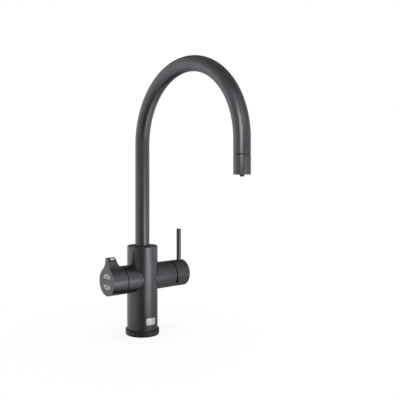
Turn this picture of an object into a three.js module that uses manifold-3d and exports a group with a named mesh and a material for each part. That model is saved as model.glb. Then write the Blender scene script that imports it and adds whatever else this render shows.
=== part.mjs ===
// A boiling water tap for a kitchen sink: a round column with a swivelling gooseneck spout, a
// teardrop dial on the left and a single lever mixer on the right. Millimetres, +Z up. The origin
// is where the column's axis meets the worktop; the spout points along -Y and the mixer along +X.

import * as THREE from 'three';
import { mergeVertices } from 'three/addons/utils/BufferGeometryUtils.js';
import Module from 'manifold-3d';

const wasm = await Module();
wasm.setup();

// ---------------------------------------------------------------- driving dimensions

// fits between separate pieces
const fit = 0.3;              // radial or end clearance between neighbours
const overcut = 1;            // how far a cutting tool runs past the face it opens

// worktop fixing
const worktop_thickness = 30;
const shank_radius = 16;
const shank_bore_radius = 13.5;
const shank_below_worktop = 30;
const shank_in_foot = 12;
const washer_radius = 25;
const rubber_washer_thickness = 3;
const clamp_washer_thickness = 2.5;
const nut_across_flats = 42;
const nut_height = 8;
const tail_guide_thickness = 4;

// foot of the column
const gasket_thickness = 1;
const gasket_inset = 0.45;
const base_ring_radius = 26.65;
const base_ring_top = 6;
const base_flange_thickness = 1.5;
const base_ring_chamfer = 0.5;
const seal_ring_height = 2.5;
const seal_ring_rounding = 0.9;
const foot_height = 12;

// height above the worktop of the one axis that both handles share
const handle_height = 88;

// column
const column_radius = 24;
const column_wall = 3;
const column_upper_height = 50;      // from the handles' axis to the rim
const column_top = handle_height + column_upper_height;
const column_rim_wall = 1.1;
const column_rim_chamfer = 0.5;
const collar_thickness = 3;
const collar_recess = 0.7;
const collar_tube_gap = 0.7;

// badge plate let into the front of the column
const badge_half_angle = 21;  // degrees
const badge_bottom = 17.8;
const badge_height = 10.5;
const badge_corner_radius = 2;
const badge_pocket_depth = 0.8;
const badge_proud = 0.35;

// inlet tails: outer radius and the direction of each from the column's axis; the guide's rim
// outside the widest tails sets the circle that all four stand on
const mixing_tail_radius = 5;
const tail_guide_rim = 0.7;
const tail_guide_web = 0.3;
const tail_pitch_radius = shank_bore_radius - tail_guide_rim - mixing_tail_radius - 2 * fit;
const lead_hole_radius = tail_pitch_radius - mixing_tail_radius - tail_guide_web - fit;
const tail_below_shank = 20;
const tail_seat_depth = 12;
const tail_wall = 1;
const tails = {
  hot_tail: { radius: mixing_tail_radius, angle: -55 },
  cold_tail: { radius: mixing_tail_radius, angle: 55 },
  boiling_tail: { radius: 4, angle: 145 },
  chilled_tail: { radius: 3.2, angle: 215 },
};

// manifold core inside the column, below and above the handles' axis
const core_lower_height = 30;
const core_upper_height = 22;
const core_half_waist = 13.7;
const waterway_radius = 2.6;
const inlet_port_drop = 6;
const outlet_port_rise = 9;
const dispense_bore_depth = 12;

// spout, whose heights build up from the nozzle's lower edge
const nozzle_bottom = 251.5;
const nozzle_sleeve_height = 25.4;
const nozzle_seam = 1.2;
const spout_tube_end = nozzle_bottom + nozzle_sleeve_height + nozzle_seam;
const spout_drop_height = 18.8;      // the straight run between the tube's end and the bend
const spout_bend_height = spout_tube_end + spout_drop_height;
const spout_bend_radius = 110.95;
const spout_radius = 11.25;
const spout_wall = 1.25;
const spout_arc_steps = 24;
const socket_bore_radius = 13.2;
const socket_foot_bore_radius = 14.1;
const socket_foot_bore_depth = 3.8;
const retaining_ring_height = 1.6;
const spout_bush_height = 6;
const spout_o_ring_height = 2.2;
const spout_o_ring_edge = 0.6;
const boiling_tube_radius = 3;
const boiling_tube_wall = 1;

// nozzle at the end of the spout
const nozzle_rounding = 1;
const nozzle_chamfer = 0.4;
const nozzle_neck_height = 9;
const neck_play = 0.7;
const nozzle_neck_bore_radius = 8.2;
const nozzle_chamber_radius = 9.6;
const straightener_height = 9;
const straightener_recess = 1.5;
const straightener_hole_radius = 1.5;
const straightener_hole_pitch = 6.8;
const straightener_hole_count = 8;
const nozzle_o_ring_radius = 10.9;
const jet_radius = 4;
const jet_tip_radius = 2.4;
const jet_tip_below_nozzle = 2.5;
const jet_cone_length = 4;
const jet_above_straightener = 4;
const jet_bore_radius = 1.6;
const jet_socket_depth = 8;

// left dial
const left_boss_radius = 21.5;
const left_boss_wall = 3;
const left_boss_reach = 38.6;
const boss_chamfer = 0.4;
const dial_groove = 1.2;
const dial_length = 25.65;
const dial_reach = left_boss_reach + dial_groove + dial_length;
const dial_tip_height = 36.48;       // above the dial's axis
const dial_tip_half_width = 3.9;
const dial_tip_rounding = 2.5;       // the two upper corners of the tip
const dial_fin_top_length = 12.55;   // the fin's top, from the face to its sloping back
const dial_fin_back_top = dial_reach - dial_fin_top_length;
const dial_fin_back_run = 5.5;       // how far the steep upper back comes in towards the column ...
const dial_fin_back_drop = 11.9;     // ... over this height
const dial_fin_foot_height = 15;     // the flatter lower back ends at the dial's back, above its axis
const dial_face_thickness = 2.55;
const dial_bore_radius = 18;
const dial_bearing_thickness = 7.5;
const dial_bearing_skirt = 8;
const dial_bearing_skirt_wall = 2;
const spindle_radius = 5;
const spindle_in_hub = 15;
const spindle_clip_radius = 8;
const spindle_clip_thickness = 1;
const magnet_holder_radius = 6.5;
const magnet_holder_length = 4.5;
const magnet_holder_web = 1.2;
const magnet_holder_screw_radius = 1;
const circuit_board_thickness = 1.6;
const switch_width = 6;
const switch_height = 1.1;
const switch_offset = 8;

// half-moon pads on the dial's face
const pad_radius = 12.4;
const pad_chord_height = 4.5;
const pad_corner_radius = 2.2;
const pad_recess = 0.15;
const pad_flange = 0.9;
const pad_flange_thickness = 1;
const pad_travel = 0.8;

// safety button in the dial's tip
const safety_button_inset = 4.45;    // behind the dial's face
const safety_button_length = 7;
const safety_button_outer_x = dial_reach - safety_button_inset;
const safety_button_inner_x = safety_button_outer_x - safety_button_length;
const safety_button_height = 3;
const safety_button_recess = 0.12;
const safety_button_travel = 1.2;
const safety_slot_end = 3.1;         // the slot goes this far beyond the button's outer end
const safety_bezel_floor = 1.2;      // the black guide's floor, below the button
const safety_stem_radius = 1;
const safety_stem_length = 6;
const safety_spring_radius = 1.85;
const safety_spring_wire = 0.25;
const safety_spring_turns = 6;
const safety_spring_sides = 5;
const safety_hole_depth = 8.5;

// right mixer
const right_boss_radius = 21.1;
const right_boss_wall = 3.1;
const right_boss_reach = 53.4;
const cap_gap = 1.6;
const cap_rim = right_boss_reach + cap_gap;
const cartridge_radius = 17.2;
const cartridge_wall = 3;
const cartridge_base_thickness = 3;
const cartridge_front_recess = 9.4;  // behind the boss's open end
const cartridge_front = right_boss_reach - cartridge_front_recess;
const ceramic_disc_thickness = 4;
const moving_disc_radius = 10;
const coupler_thickness = 3;
const rotor_neck_radius = 10.1;
const rotor_proud_length = 2;         // the rotor stands this far into the cap
const rotor_reach = cap_rim + rotor_proud_length;
const rotor_slot_half_height = 8;
const rotor_bearing_play = 0.3;
const cartridge_nut_radius = 17.7;
const cartridge_nut_recess = 2.4;
const cartridge_nut_end = right_boss_reach - cartridge_nut_recess;
const mixer_pivot_inset = 2;
const mixer_pivot_x = cartridge_front - mixer_pivot_inset;
const mixer_tilt = 16;               // degrees from shut to fully open
const stem_pin_radius = 1.5;
const stem_pin_length = 18;
const stem_width = 8;
const stem_height = 7;
const stem_ball_radius = 2.4;
const stem_neck_height = 3;
const stem_neck_length = 1;
const cap_rounding = 1.5;
const cap_bore_radius = 17.5;
const cap_cup_depth = 9;
const cap_web_x = cap_rim + cap_cup_depth;
const stem_grip_length = 7.5;        // how far the stem goes into the cap's web
const stem_reach = cap_web_x + stem_grip_length;
const rod_beyond_stem_length = 1.5;
const rod_x = stem_reach + rod_beyond_stem_length;
const rod_radius = 3.7;
const rod_height = 72;               // above the mixer's axis
const rod_top = handle_height + rod_height;
const rod_seat_height = 6;           // above the mixer's axis
const rod_chamfer = 0.5;
const cap_end_length = 7.5;
const cap_reach = rod_x + cap_end_length;
const cap_screw_inset = 3.5;
const cap_screw_x = stem_reach - cap_screw_inset;
const cap_screw_radius = 2;
const cap_screw_recess = 1.2;

// A rounding's middle corner lies this share of its radius in from both faces.
const rounding_share = 0.3;

// facets round a circle
const fine = 36;
const medium = 24;
const coarse = 20;
const small = 12;
const tiny = 8;
const spout_sides = 24;
const spout_bore_sides = 12;
const boiling_tube_sides = 6;

// ---------------------------------------------------------------- materials

const finish = (color, roughness, metalness) =>
  new THREE.MeshStandardMaterial({ color, roughness, metalness });

const matt_black = finish(0x2b2c2e, 0.45, 0.2);
const black_plastic = finish(0x1b1b1c, 0.6, 0);
const pad_plastic = finish(0xa6a6a6, 0.5, 0);
const silver = finish(0xc8ccd6, 0.25, 0.9);
const chrome = finish(0xdfe1e4, 0.1, 1);
const rubber = finish(0x151515, 0.9, 0);
const brass = finish(0xb08d4a, 0.35, 0.9);
const steel = finish(0xb4b6b8, 0.3, 0.9);
const white_plastic = finish(0xe6e4dd, 0.5, 0);
const ceramic = finish(0xf1efe9, 0.2, 0);
const copper = finish(0xb87045, 0.35, 0.9);
const board_green = finish(0x1f5a3a, 0.6, 0);

// ---------------------------------------------------------------- geometry helpers

// Turns x to y, y to z and z to x: what is built along Z then lies along X.
const z_to_x = new THREE.Matrix4().set(0, 0, 1, 0, 1, 0, 0, 0, 0, 1, 0, 0, 0, 0, 0, 1);

const degrees = (angle) => THREE.MathUtils.degToRad(angle);

const point = (x, y) => new THREE.Vector2(x, y);

// A round piece about Z, from a closed profile of [radius, height] corners, in any order of turn.
function turned(profile, segments = coarse) {
  const corners = profile.map(([radius, height]) => point(radius, height));
  if (THREE.ShapeUtils.isClockWise(corners)) {
    corners.reverse();
  }
  corners.push(corners[0].clone());
  return new THREE.LatheGeometry(corners, segments).applyMatrix4(z_to_x);
}

// A straight tube or ring about Z.
const ring = (inner, outer, bottom, top, segments) =>
  turned([[inner, bottom], [outer, bottom], [outer, top], [inner, top]], segments);

// A solid rod about Z; its lathe profile starts and ends on the axis.
function rod(radius, bottom, top, segments = small, chamfer = 0) {
  const corners = [point(0, bottom), point(radius, bottom)];
  if (chamfer > 0) {
    corners.push(point(radius, top - chamfer), point(radius - chamfer, top));
  } else {
    corners.push(point(radius, top));
  }
  corners.push(point(0, top));
  return new THREE.LatheGeometry(corners, segments).applyMatrix4(z_to_x);
}

// A flat outline in XY pushed up from one height to another.
function raised(shape, bottom, top, curve_segments = 6) {
  const options = { depth: top - bottom, bevelEnabled: false, curveSegments: curve_segments };
  return new THREE.ExtrudeGeometry(shape, options).translate(0, 0, bottom);
}

// A box between two corners.
function block(low, high) {
  const size = high.map((value, axis) => value - low[axis]);
  const middle = high.map((value, axis) => (value + low[axis]) / 2);
  return new THREE.BoxGeometry(...size).translate(...middle);
}

// A drilled waterway from one point to another.
function drilling(from, to, radius, segments = tiny) {
  const start = new THREE.Vector3(...from);
  const run = new THREE.Vector3(...to).sub(start);
  const turn = new THREE.Quaternion().setFromUnitVectors(
    new THREE.Vector3(0, 0, 1),
    run.clone().normalize(),
  );
  const hole = rod(radius, 0, run.length(), segments);
  return hole.applyQuaternion(turn).translate(start.x, start.y, start.z);
}

// Lies a piece built along Z down along X, at a height above the worktop.
const sideways = (geometry, height = 0) => geometry.applyMatrix4(z_to_x).translate(0, 0, height);

// Hands a closed geometry to the solid modeller.
function solid(geometry) {
  const bare = geometry.clone();
  bare.deleteAttribute('normal');
  bare.deleteAttribute('uv');
  const merged = mergeVertices(bare, 1e-4);
  return new wasm.Manifold(new wasm.Mesh({
    numProp: 3,
    vertProperties: new Float32Array(merged.attributes.position.array),
    triVerts: new Uint32Array(merged.index.array),
  }));
}

const less = (body, ...tools) => tools.reduce((rest, tool) => rest.subtract(solid(tool)), body);

const plus = (body, ...others) => others.reduce((sum, other) => sum.add(solid(other)), body);

// Brings a cut solid back as a three.js geometry.
function shaped(body) {
  const result = body.getMesh();
  const geometry = new THREE.BufferGeometry();
  geometry.setAttribute('position', new THREE.BufferAttribute(result.vertProperties, 3));
  geometry.setIndex(new THREE.BufferAttribute(result.triVerts, 1));
  const faceted = geometry.toNonIndexed();
  faceted.computeVertexNormals();
  return faceted;
}

const tap = new THREE.Group();

function piece(group, name, shape, material) {
  const geometry = shape.isBufferGeometry ? shape : shaped(shape);
  const mesh = new THREE.Mesh(geometry, material);
  mesh.name = name;
  group.add(mesh);
  return mesh;
}

// A group whose own Z runs along the tap's +X at the handles' height. Its X is the tap's Y, and
// its Y is height above the handles' axis.
function side_group() {
  const group = new THREE.Group();
  group.position.z = handle_height;
  group.quaternion.set(0.5, 0.5, 0.5, 0.5);
  tap.add(group);
  return group;
}

// ---------------------------------------------------------------- worktop fixing

const shank_bottom = -worktop_thickness - shank_below_worktop;
const foot_bottom = gasket_thickness + base_flange_thickness + fit;
const shank_top = foot_bottom + shank_in_foot;

function add_worktop_fixing() {
  piece(tap, 'threaded_shank',
    ring(shank_bore_radius, shank_radius, shank_bottom, shank_top, medium), brass);

  const clear_bore = shank_radius + fit;
  const rubber_bottom = -worktop_thickness - rubber_washer_thickness;
  const clamp_bottom = rubber_bottom - clamp_washer_thickness;
  piece(tap, 'rubber_washer',
    ring(clear_bore, washer_radius, rubber_bottom, -worktop_thickness, medium), rubber);
  piece(tap, 'clamp_washer',
    ring(clear_bore, washer_radius, clamp_bottom, rubber_bottom, medium), steel);

  const corner_radius = nut_across_flats / 2 / Math.cos(Math.PI / 6);
  const outline = new THREE.Shape();
  for (let corner = 0; corner < 6; corner += 1) {
    const angle = degrees(60 * corner);
    outline[corner === 0 ? 'moveTo' : 'lineTo'](
      corner_radius * Math.cos(angle), corner_radius * Math.sin(angle));
  }
  outline.closePath();
  const hexagon = solid(raised(outline, clamp_bottom - nut_height, clamp_bottom));
  const thread_hole = rod(clear_bore, clamp_bottom - nut_height - overcut,
    clamp_bottom + overcut, medium);
  piece(tap, 'shank_nut', less(hexagon, thread_hole), brass);
}

// ---------------------------------------------------------------- foot of the column

function add_foot() {
  const clear_bore = shank_radius + fit;
  piece(tap, 'base_gasket',
    ring(clear_bore, base_ring_radius - gasket_inset, 0, gasket_thickness, fine), rubber);

  const flange_top = gasket_thickness + base_flange_thickness;
  const wall_inside = column_radius + fit;
  piece(tap, 'base_ring', turned([
    [clear_bore, gasket_thickness],
    [base_ring_radius - base_ring_chamfer, gasket_thickness],
    [base_ring_radius, gasket_thickness + base_ring_chamfer],
    [base_ring_radius, base_ring_top],
    [wall_inside, base_ring_top],
    [wall_inside, flange_top],
    [clear_bore, flange_top],
  ], fine), matt_black);

  const seal_top = base_ring_top + seal_ring_height;
  const soft = seal_ring_rounding;
  piece(tap, 'column_seal_ring', turned([
    [wall_inside, base_ring_top],
    [base_ring_radius, base_ring_top],
    [base_ring_radius, seal_top - soft],
    [base_ring_radius - rounding_share * soft, seal_top - rounding_share * soft],
    [base_ring_radius - soft, seal_top],
    [wall_inside, seal_top],
  ], fine), rubber);

  const bore_radius = column_radius - column_wall;
  piece(tap, 'column_foot',
    ring(clear_bore, bore_radius - fit, foot_bottom, foot_bottom + foot_height, medium), brass);
}

// ---------------------------------------------------------------- column

// The badge's outline wrapped round the column, as a solid between two radii.
function badge_block(inner_radius, outer_radius, margin) {
  const half_angle = degrees(badge_half_angle) + margin / column_radius;
  const half_height = badge_height / 2 + margin;
  const corner = badge_corner_radius + margin;
  const half_width = column_radius * Math.sin(half_angle);
  const outline = new THREE.Shape();
  outline.moveTo(half_width - corner, -half_height);
  outline.absarc(half_width - corner, -half_height + corner, corner, -Math.PI / 2, 0);
  outline.absarc(half_width - corner, half_height - corner, corner, 0, Math.PI / 2);
  outline.absarc(-half_width + corner, half_height - corner, corner, Math.PI / 2, Math.PI);
  outline.absarc(-half_width + corner, -half_height + corner, corner, Math.PI, 1.5 * Math.PI);
  // Pushed along +Z, then stood up so that it runs out along -Y.
  const through = solid(raised(outline, 0, outer_radius + overcut, 3)
    .rotateX(Math.PI / 2)
    .translate(0, 0, badge_bottom + badge_height / 2));
  const shell = ring(inner_radius, outer_radius, badge_bottom - overcut - margin,
    badge_bottom + badge_height + overcut + margin, 3 * fine);
  return through.intersect(solid(shell));
}

const left_boss_bore_radius = left_boss_radius - left_boss_wall;
const right_boss_bore_radius = right_boss_radius - right_boss_wall;
const collar_top = column_top - collar_recess;
const collar_bottom = collar_top - collar_thickness;

function add_column() {
  const bore = column_radius - column_wall;
  const rim_bore = column_radius - column_rim_wall;
  const shoulder = collar_bottom - fit;
  const tube = solid(turned([
    [bore, foot_bottom],
    [column_radius, foot_bottom],
    [column_radius, column_top - column_rim_chamfer],
    [column_radius - column_rim_chamfer, column_top],
    [rim_bore, column_top],
    [rim_bore, shoulder],
    [bore, shoulder],
  ], fine));
  const right_hole = sideways(rod(right_boss_bore_radius, 0, column_radius + overcut, medium),
    handle_height);
  const left_hole = sideways(rod(left_boss_bore_radius, -column_radius - overcut, 0, medium),
    handle_height);
  const pocket_floor = column_radius - badge_pocket_depth;
  const pocket = badge_block(pocket_floor, column_radius + overcut, fit);
  piece(tap, 'column_body', less(tube, right_hole, left_hole).subtract(pocket), matt_black);

  const badge = badge_block(pocket_floor + fit, column_radius + badge_proud, 0);
  piece(tap, 'badge_plate', badge, chrome);

  piece(tap, 'top_collar', ring(spout_radius + collar_tube_gap, rim_bore - fit,
    collar_bottom, collar_top, fine), black_plastic);
}

// ---------------------------------------------------------------- manifold core and tails

const core_bottom = handle_height - core_lower_height;
const core_top = handle_height + core_upper_height;

function tail_place(tail) {
  const angle = degrees(tail.angle);
  return [tail_pitch_radius * Math.cos(angle), tail_pitch_radius * Math.sin(angle)];
}

// How far the hot and cold waterways lie to either side of the middle.
const port_offset = tail_place(tails.cold_tail)[1];

function add_core() {
  const core_radius = column_radius - column_wall - fit;
  const body = solid(rod(core_radius, core_bottom, core_top, fine));
  const pocket_end = column_radius + overcut;
  const right_pocket = sideways(rod(cartridge_radius + fit, core_half_waist, pocket_end, medium),
    handle_height);
  const left_pocket = sideways(rod(left_boss_bore_radius - fit, -pocket_end, -core_half_waist,
    medium), handle_height);
  let core = less(body, right_pocket, left_pocket);

  // Each tail has a seat in the core's underside and a waterway above it.
  const inlet_port_height = handle_height - inlet_port_drop;
  const dispense_height = core_top - dispense_bore_depth;
  const seat_top = core_bottom + tail_seat_depth;
  for (const [name, tail] of Object.entries(tails)) {
    const [x, y] = tail_place(tail);
    core = less(core,
      drilling([x, y, core_bottom - overcut], [x, y, seat_top], tail.radius + fit, small));
    const mixes = name === 'hot_tail' || name === 'cold_tail';
    const way_top = mixes ? inlet_port_height : handle_height;
    core = less(core,
      drilling([x, y, seat_top - overcut], [x, y, way_top], waterway_radius));
    if (mixes) {
      core = less(core, drilling([core_half_waist + overcut, y, inlet_port_height],
        [x, y, inlet_port_height], waterway_radius));
    } else {
      core = less(core, drilling([x, y, handle_height - overcut],
        [0, 0, dispense_height + overcut], waterway_radius));
    }
  }

  // Mixed water leaves through one channel beside the central bore for boiling water.
  const outlet_height = handle_height + outlet_port_rise;
  const channel_x = (spout_radius - spout_wall + boiling_tube_radius) / 2;
  core = less(core,
    drilling([core_half_waist + overcut, 0, outlet_height], [channel_x, 0, outlet_height],
      waterway_radius),
    drilling([channel_x, 0, outlet_height], [channel_x, 0, core_top + overcut],
      waterway_radius),
    rod(boiling_tube_radius + fit, dispense_height, core_top + overcut, small));
  piece(tap, 'manifold_core', core, brass);
}

function add_tails() {
  const tail_bottom = shank_bottom - tail_below_shank;
  const tail_top = core_bottom + tail_seat_depth - fit;
  for (const [name, tail] of Object.entries(tails)) {
    const [x, y] = tail_place(tail);
    const tube = ring(tail.radius - tail_wall, tail.radius, tail_bottom, tail_top, small);
    const mesh = piece(tap, name, tube, copper);
    mesh.position.set(x, y, 0);
  }

  const guide_top = shank_bottom + tail_guide_thickness;
  let guide = solid(rod(shank_bore_radius - fit, shank_bottom, guide_top, medium));
  for (const tail of Object.values(tails)) {
    const [x, y] = tail_place(tail);
    guide = less(guide, drilling([x, y, shank_bottom - overcut], [x, y, guide_top + overcut],
      tail.radius + fit, small));
  }
  guide = less(guide,
    rod(lead_hole_radius, shank_bottom - overcut, guide_top + overcut, tiny));
  piece(tap, 'tail_guide', guide, white_plastic);
}

// ---------------------------------------------------------------- spout and its socket

const socket_bottom = core_top + fit;
const socket_top = collar_bottom - 2 * fit;
const spout_tube_start = socket_bottom + 2 * fit;

function add_spout_socket() {
  const outside = column_radius - column_wall - fit;
  const step = socket_bottom + socket_foot_bore_depth;
  piece(tap, 'spout_socket', turned([
    [socket_foot_bore_radius, socket_bottom],
    [outside, socket_bottom],
    [outside, socket_top],
    [socket_bore_radius, socket_top],
    [socket_bore_radius, step],
    [socket_foot_bore_radius, step],
  ], medium), brass);

  const inside = spout_radius + fit;
  const around = socket_bore_radius - fit;
  const lower_bush = step + fit;
  const lower_o_ring = lower_bush + spout_bush_height + fit;
  const upper_o_ring = lower_o_ring + spout_o_ring_height + fit;
  const upper_bush = upper_o_ring + spout_o_ring_height + fit;
  piece(tap, 'spout_bush_lower',
    ring(inside, around, lower_bush, lower_bush + spout_bush_height, coarse), white_plastic);
  piece(tap, 'spout_bush_upper',
    ring(inside, around, upper_bush, upper_bush + spout_bush_height, coarse), white_plastic);
  const edge = spout_o_ring_edge;
  for (const [name, bottom] of [['lower', lower_o_ring], ['upper', upper_o_ring]]) {
    const top = bottom + spout_o_ring_height;
    piece(tap, `spout_o_ring_${name}`, turned([
      [inside + edge, bottom],
      [around, bottom + edge],
      [around, top - edge],
      [inside + edge, top],
      [inside, (bottom + top) / 2],
    ], coarse), rubber);
  }
}

// The spout's centre line: up the column's axis, over in a half circle and down to an end. Its
// steps fall where the straight runs meet the bend.
class SpoutLine extends THREE.Curve {
  constructor(start_height, end_height) {
    super();
    this.start_height = start_height;
    this.end_height = end_height;
    this.steps = spout_arc_steps + 2;
  }

  getUtoTmapping(u) {
    return u;
  }

  getPoint(t, target = new THREE.Vector3()) {
    const station = t * this.steps;
    const angle = this.bend_angle(station);
    const y = -spout_bend_radius * (1 - Math.cos(angle));
    let z = spout_bend_height + spout_bend_radius * Math.sin(angle);
    if (station < 1) {
      z = THREE.MathUtils.lerp(this.start_height, spout_bend_height, station);
    } else if (station > this.steps - 1) {
      z = THREE.MathUtils.lerp(this.end_height, spout_bend_height, this.steps - station);
    }
    return target.set(0, y, z);
  }

  getTangent(t, target = new THREE.Vector3()) {
    const angle = this.bend_angle(t * this.steps);
    return target.set(0, -Math.sin(angle), Math.cos(angle));
  }

  bend_angle(station) {
    const along = THREE.MathUtils.clamp(station - 1, 0, spout_arc_steps);
    return (Math.PI * along) / spout_arc_steps;
  }
}

// A round tube along the spout's line.
function spout_shaped_tube(inner, outer, start_height, end_height, outer_sides, inner_sides) {
  const circle = (radius, sides) => Array.from({ length: sides }, (_, side) => {
    const angle = (2 * Math.PI * side) / sides;
    return point(radius * Math.cos(angle), radius * Math.sin(angle));
  });
  const section = new THREE.Shape(circle(outer, outer_sides));
  section.holes.push(new THREE.Path(circle(inner, inner_sides)));
  const line = new SpoutLine(start_height, end_height);
  const options = { steps: line.steps, bevelEnabled: false, extrudePath: line };
  return new THREE.ExtrudeGeometry(section, options);
}

const spout_bore_radius = spout_radius - spout_wall;
const sleeve_top = spout_tube_end - nozzle_seam;
const straightener_bottom = nozzle_bottom + straightener_recess;
const straightener_top = straightener_bottom + straightener_height;
const jet_top = straightener_top + jet_above_straightener;

function add_spout() {
  piece(tap, 'spout_tube', spout_shaped_tube(spout_bore_radius, spout_radius,
    spout_tube_start, spout_tube_end, spout_sides, spout_bore_sides), matt_black);

  const ring_bottom = spout_tube_start + fit;
  piece(tap, 'spout_retaining_ring', ring(spout_radius + fit, socket_foot_bore_radius - fit,
    ring_bottom, ring_bottom + retaining_ring_height, coarse), steel);

  const tube_start = core_top - dispense_bore_depth + fit;
  const tube_end = jet_top - jet_socket_depth + fit;
  piece(tap, 'boiling_tube', spout_shaped_tube(boiling_tube_radius - boiling_tube_wall,
    boiling_tube_radius, tube_start, tube_end, boiling_tube_sides, boiling_tube_sides),
    white_plastic);
}

function add_nozzle() {
  const nozzle = new THREE.Group();
  nozzle.position.y = -2 * spout_bend_radius;
  tap.add(nozzle);

  const neck = spout_bore_radius - neck_play;
  const chamber_top = straightener_top + fit;
  const round = nozzle_rounding;
  piece(nozzle, 'nozzle_sleeve', turned([
    [nozzle_chamber_radius, nozzle_bottom],
    [spout_radius - round, nozzle_bottom],
    [spout_radius - rounding_share * round, nozzle_bottom + rounding_share * round],
    [spout_radius, nozzle_bottom + round],
    [spout_radius, sleeve_top - nozzle_chamfer],
    [spout_radius - nozzle_chamfer, sleeve_top],
    [neck, sleeve_top],
    [neck, sleeve_top + nozzle_neck_height],
    [nozzle_neck_bore_radius, sleeve_top + nozzle_neck_height],
    [nozzle_neck_bore_radius, chamber_top],
    [nozzle_chamber_radius, chamber_top],
  ], coarse), matt_black);

  piece(nozzle, 'nozzle_o_ring', ring(neck + fit, nozzle_o_ring_radius,
    sleeve_top + fit, spout_tube_end - fit, coarse), rubber);

  // A disc round the jet with a circle of holes that calms the mixed water.
  const disc = solid(ring(jet_radius + fit, nozzle_chamber_radius - fit,
    straightener_bottom, straightener_top, coarse));
  const holes = Array.from({ length: straightener_hole_count }, (_, hole) => {
    const angle = (2 * Math.PI * (hole + 0.5)) / straightener_hole_count;
    return rod(straightener_hole_radius, straightener_bottom - overcut,
      straightener_top + overcut, tiny).translate(
      straightener_hole_pitch * Math.cos(angle), straightener_hole_pitch * Math.sin(angle), 0);
  });
  piece(nozzle, 'flow_straightener', less(disc, ...holes), black_plastic);

  const tip = nozzle_bottom - jet_tip_below_nozzle;
  const socket_floor = jet_top - jet_socket_depth;
  const socket_radius = boiling_tube_radius + fit;
  piece(nozzle, 'jet_nozzle', turned([
    [jet_bore_radius, tip],
    [jet_tip_radius, tip],
    [jet_radius, tip + jet_cone_length],
    [jet_radius, jet_top],
    [socket_radius, jet_top],
    [socket_radius, socket_floor],
    [jet_bore_radius, socket_floor],
  ], small), black_plastic);
}

// ---------------------------------------------------------------- left dial

const dial_back = left_boss_reach + dial_groove;
const dial_face_back = dial_reach - dial_face_thickness;

// The teardrop seen along the dial's axis: a round head whose flanks sweep in to a rounded tip.
function teardrop() {
  const head = left_boss_radius;
  const half_tip = dial_tip_half_width;
  const corner = dial_tip_rounding;
  const shoulder = dial_tip_height - corner;
  const flank = (half_tip ** 2 + shoulder ** 2 - head ** 2) / (2 * (head - half_tip));
  const flank_x = half_tip + flank;
  const meet = Math.atan2(shoulder, flank_x);
  const outline = new THREE.Shape();
  outline.moveTo(half_tip, shoulder);
  outline.absarc(flank_x, shoulder, flank, Math.PI, Math.PI + meet, false);
  outline.absarc(0, 0, head, meet, Math.PI - meet, true);
  outline.absarc(-flank_x, shoulder, flank, -meet, 0, false);
  outline.absarc(corner - half_tip, shoulder, corner, Math.PI, Math.PI / 2, true);
  outline.absarc(half_tip - corner, shoulder, corner, Math.PI / 2, 0, true);
  outline.closePath();
  return outline;
}

// A half-moon seen along the dial's axis, grown all round by a margin.
function half_moon(side, margin) {
  const radius = pad_radius + margin;
  const chord = pad_chord_height - margin;
  const corner = pad_corner_radius + margin;
  const corner_y = chord + corner;
  const corner_x = Math.sqrt((radius - corner) ** 2 - corner_y ** 2);
  const lean = Math.atan2(corner_y, corner_x);
  const outline = new THREE.Shape();
  outline.moveTo(-corner_x, chord);
  outline.absarc(corner_x, corner_y, corner, -Math.PI / 2, lean, false);
  outline.absarc(0, 0, radius, lean, Math.PI - lean, false);
  outline.absarc(-corner_x, corner_y, corner, Math.PI - lean, 1.5 * Math.PI, false);
  outline.closePath();
  if (side > 0) {
    return outline;
  }
  const mirrored = outline.getPoints(5).map((corner_point) => point(corner_point.x, -corner_point.y));
  return new THREE.Shape(mirrored.reverse());
}

// Where a safety slot starts and ends along the dial's axis, and the height of its floor.
const safety_slot_outer = safety_button_outer_x + safety_slot_end;
const safety_button_top = dial_tip_height - safety_button_recess;
const safety_button_bottom = safety_button_top - safety_button_height;
const safety_bezel_top = safety_button_bottom - safety_button_travel - fit;
const safety_slot_floor = safety_bezel_top - safety_bezel_floor - fit;
const safety_stem_x = (safety_button_outer_x + safety_button_inner_x) / 2;
const safety_hole_bottom = safety_slot_floor - safety_hole_depth;
const safety_hole_radius = safety_spring_radius + fit;

function add_left_boss(left) {
  const far = boss_chamfer;
  const tube = turned([
    [left_boss_bore_radius, 0],
    [left_boss_radius, 0],
    [left_boss_radius, -left_boss_reach + far],
    [left_boss_radius - far, -left_boss_reach],
    [left_boss_bore_radius, -left_boss_reach],
  ], fine);
  piece(left, 'left_boss', less(solid(tube), column_saddle()), matt_black);
}

// The column's outside, with its clearance, as a tool in a side group's own directions.
function column_saddle() {
  const reach = 2 * column_radius;
  const tool = rod(column_radius + fit, -reach, reach, fine);
  return tool.applyMatrix4(z_to_x.clone().invert());
}

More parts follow.
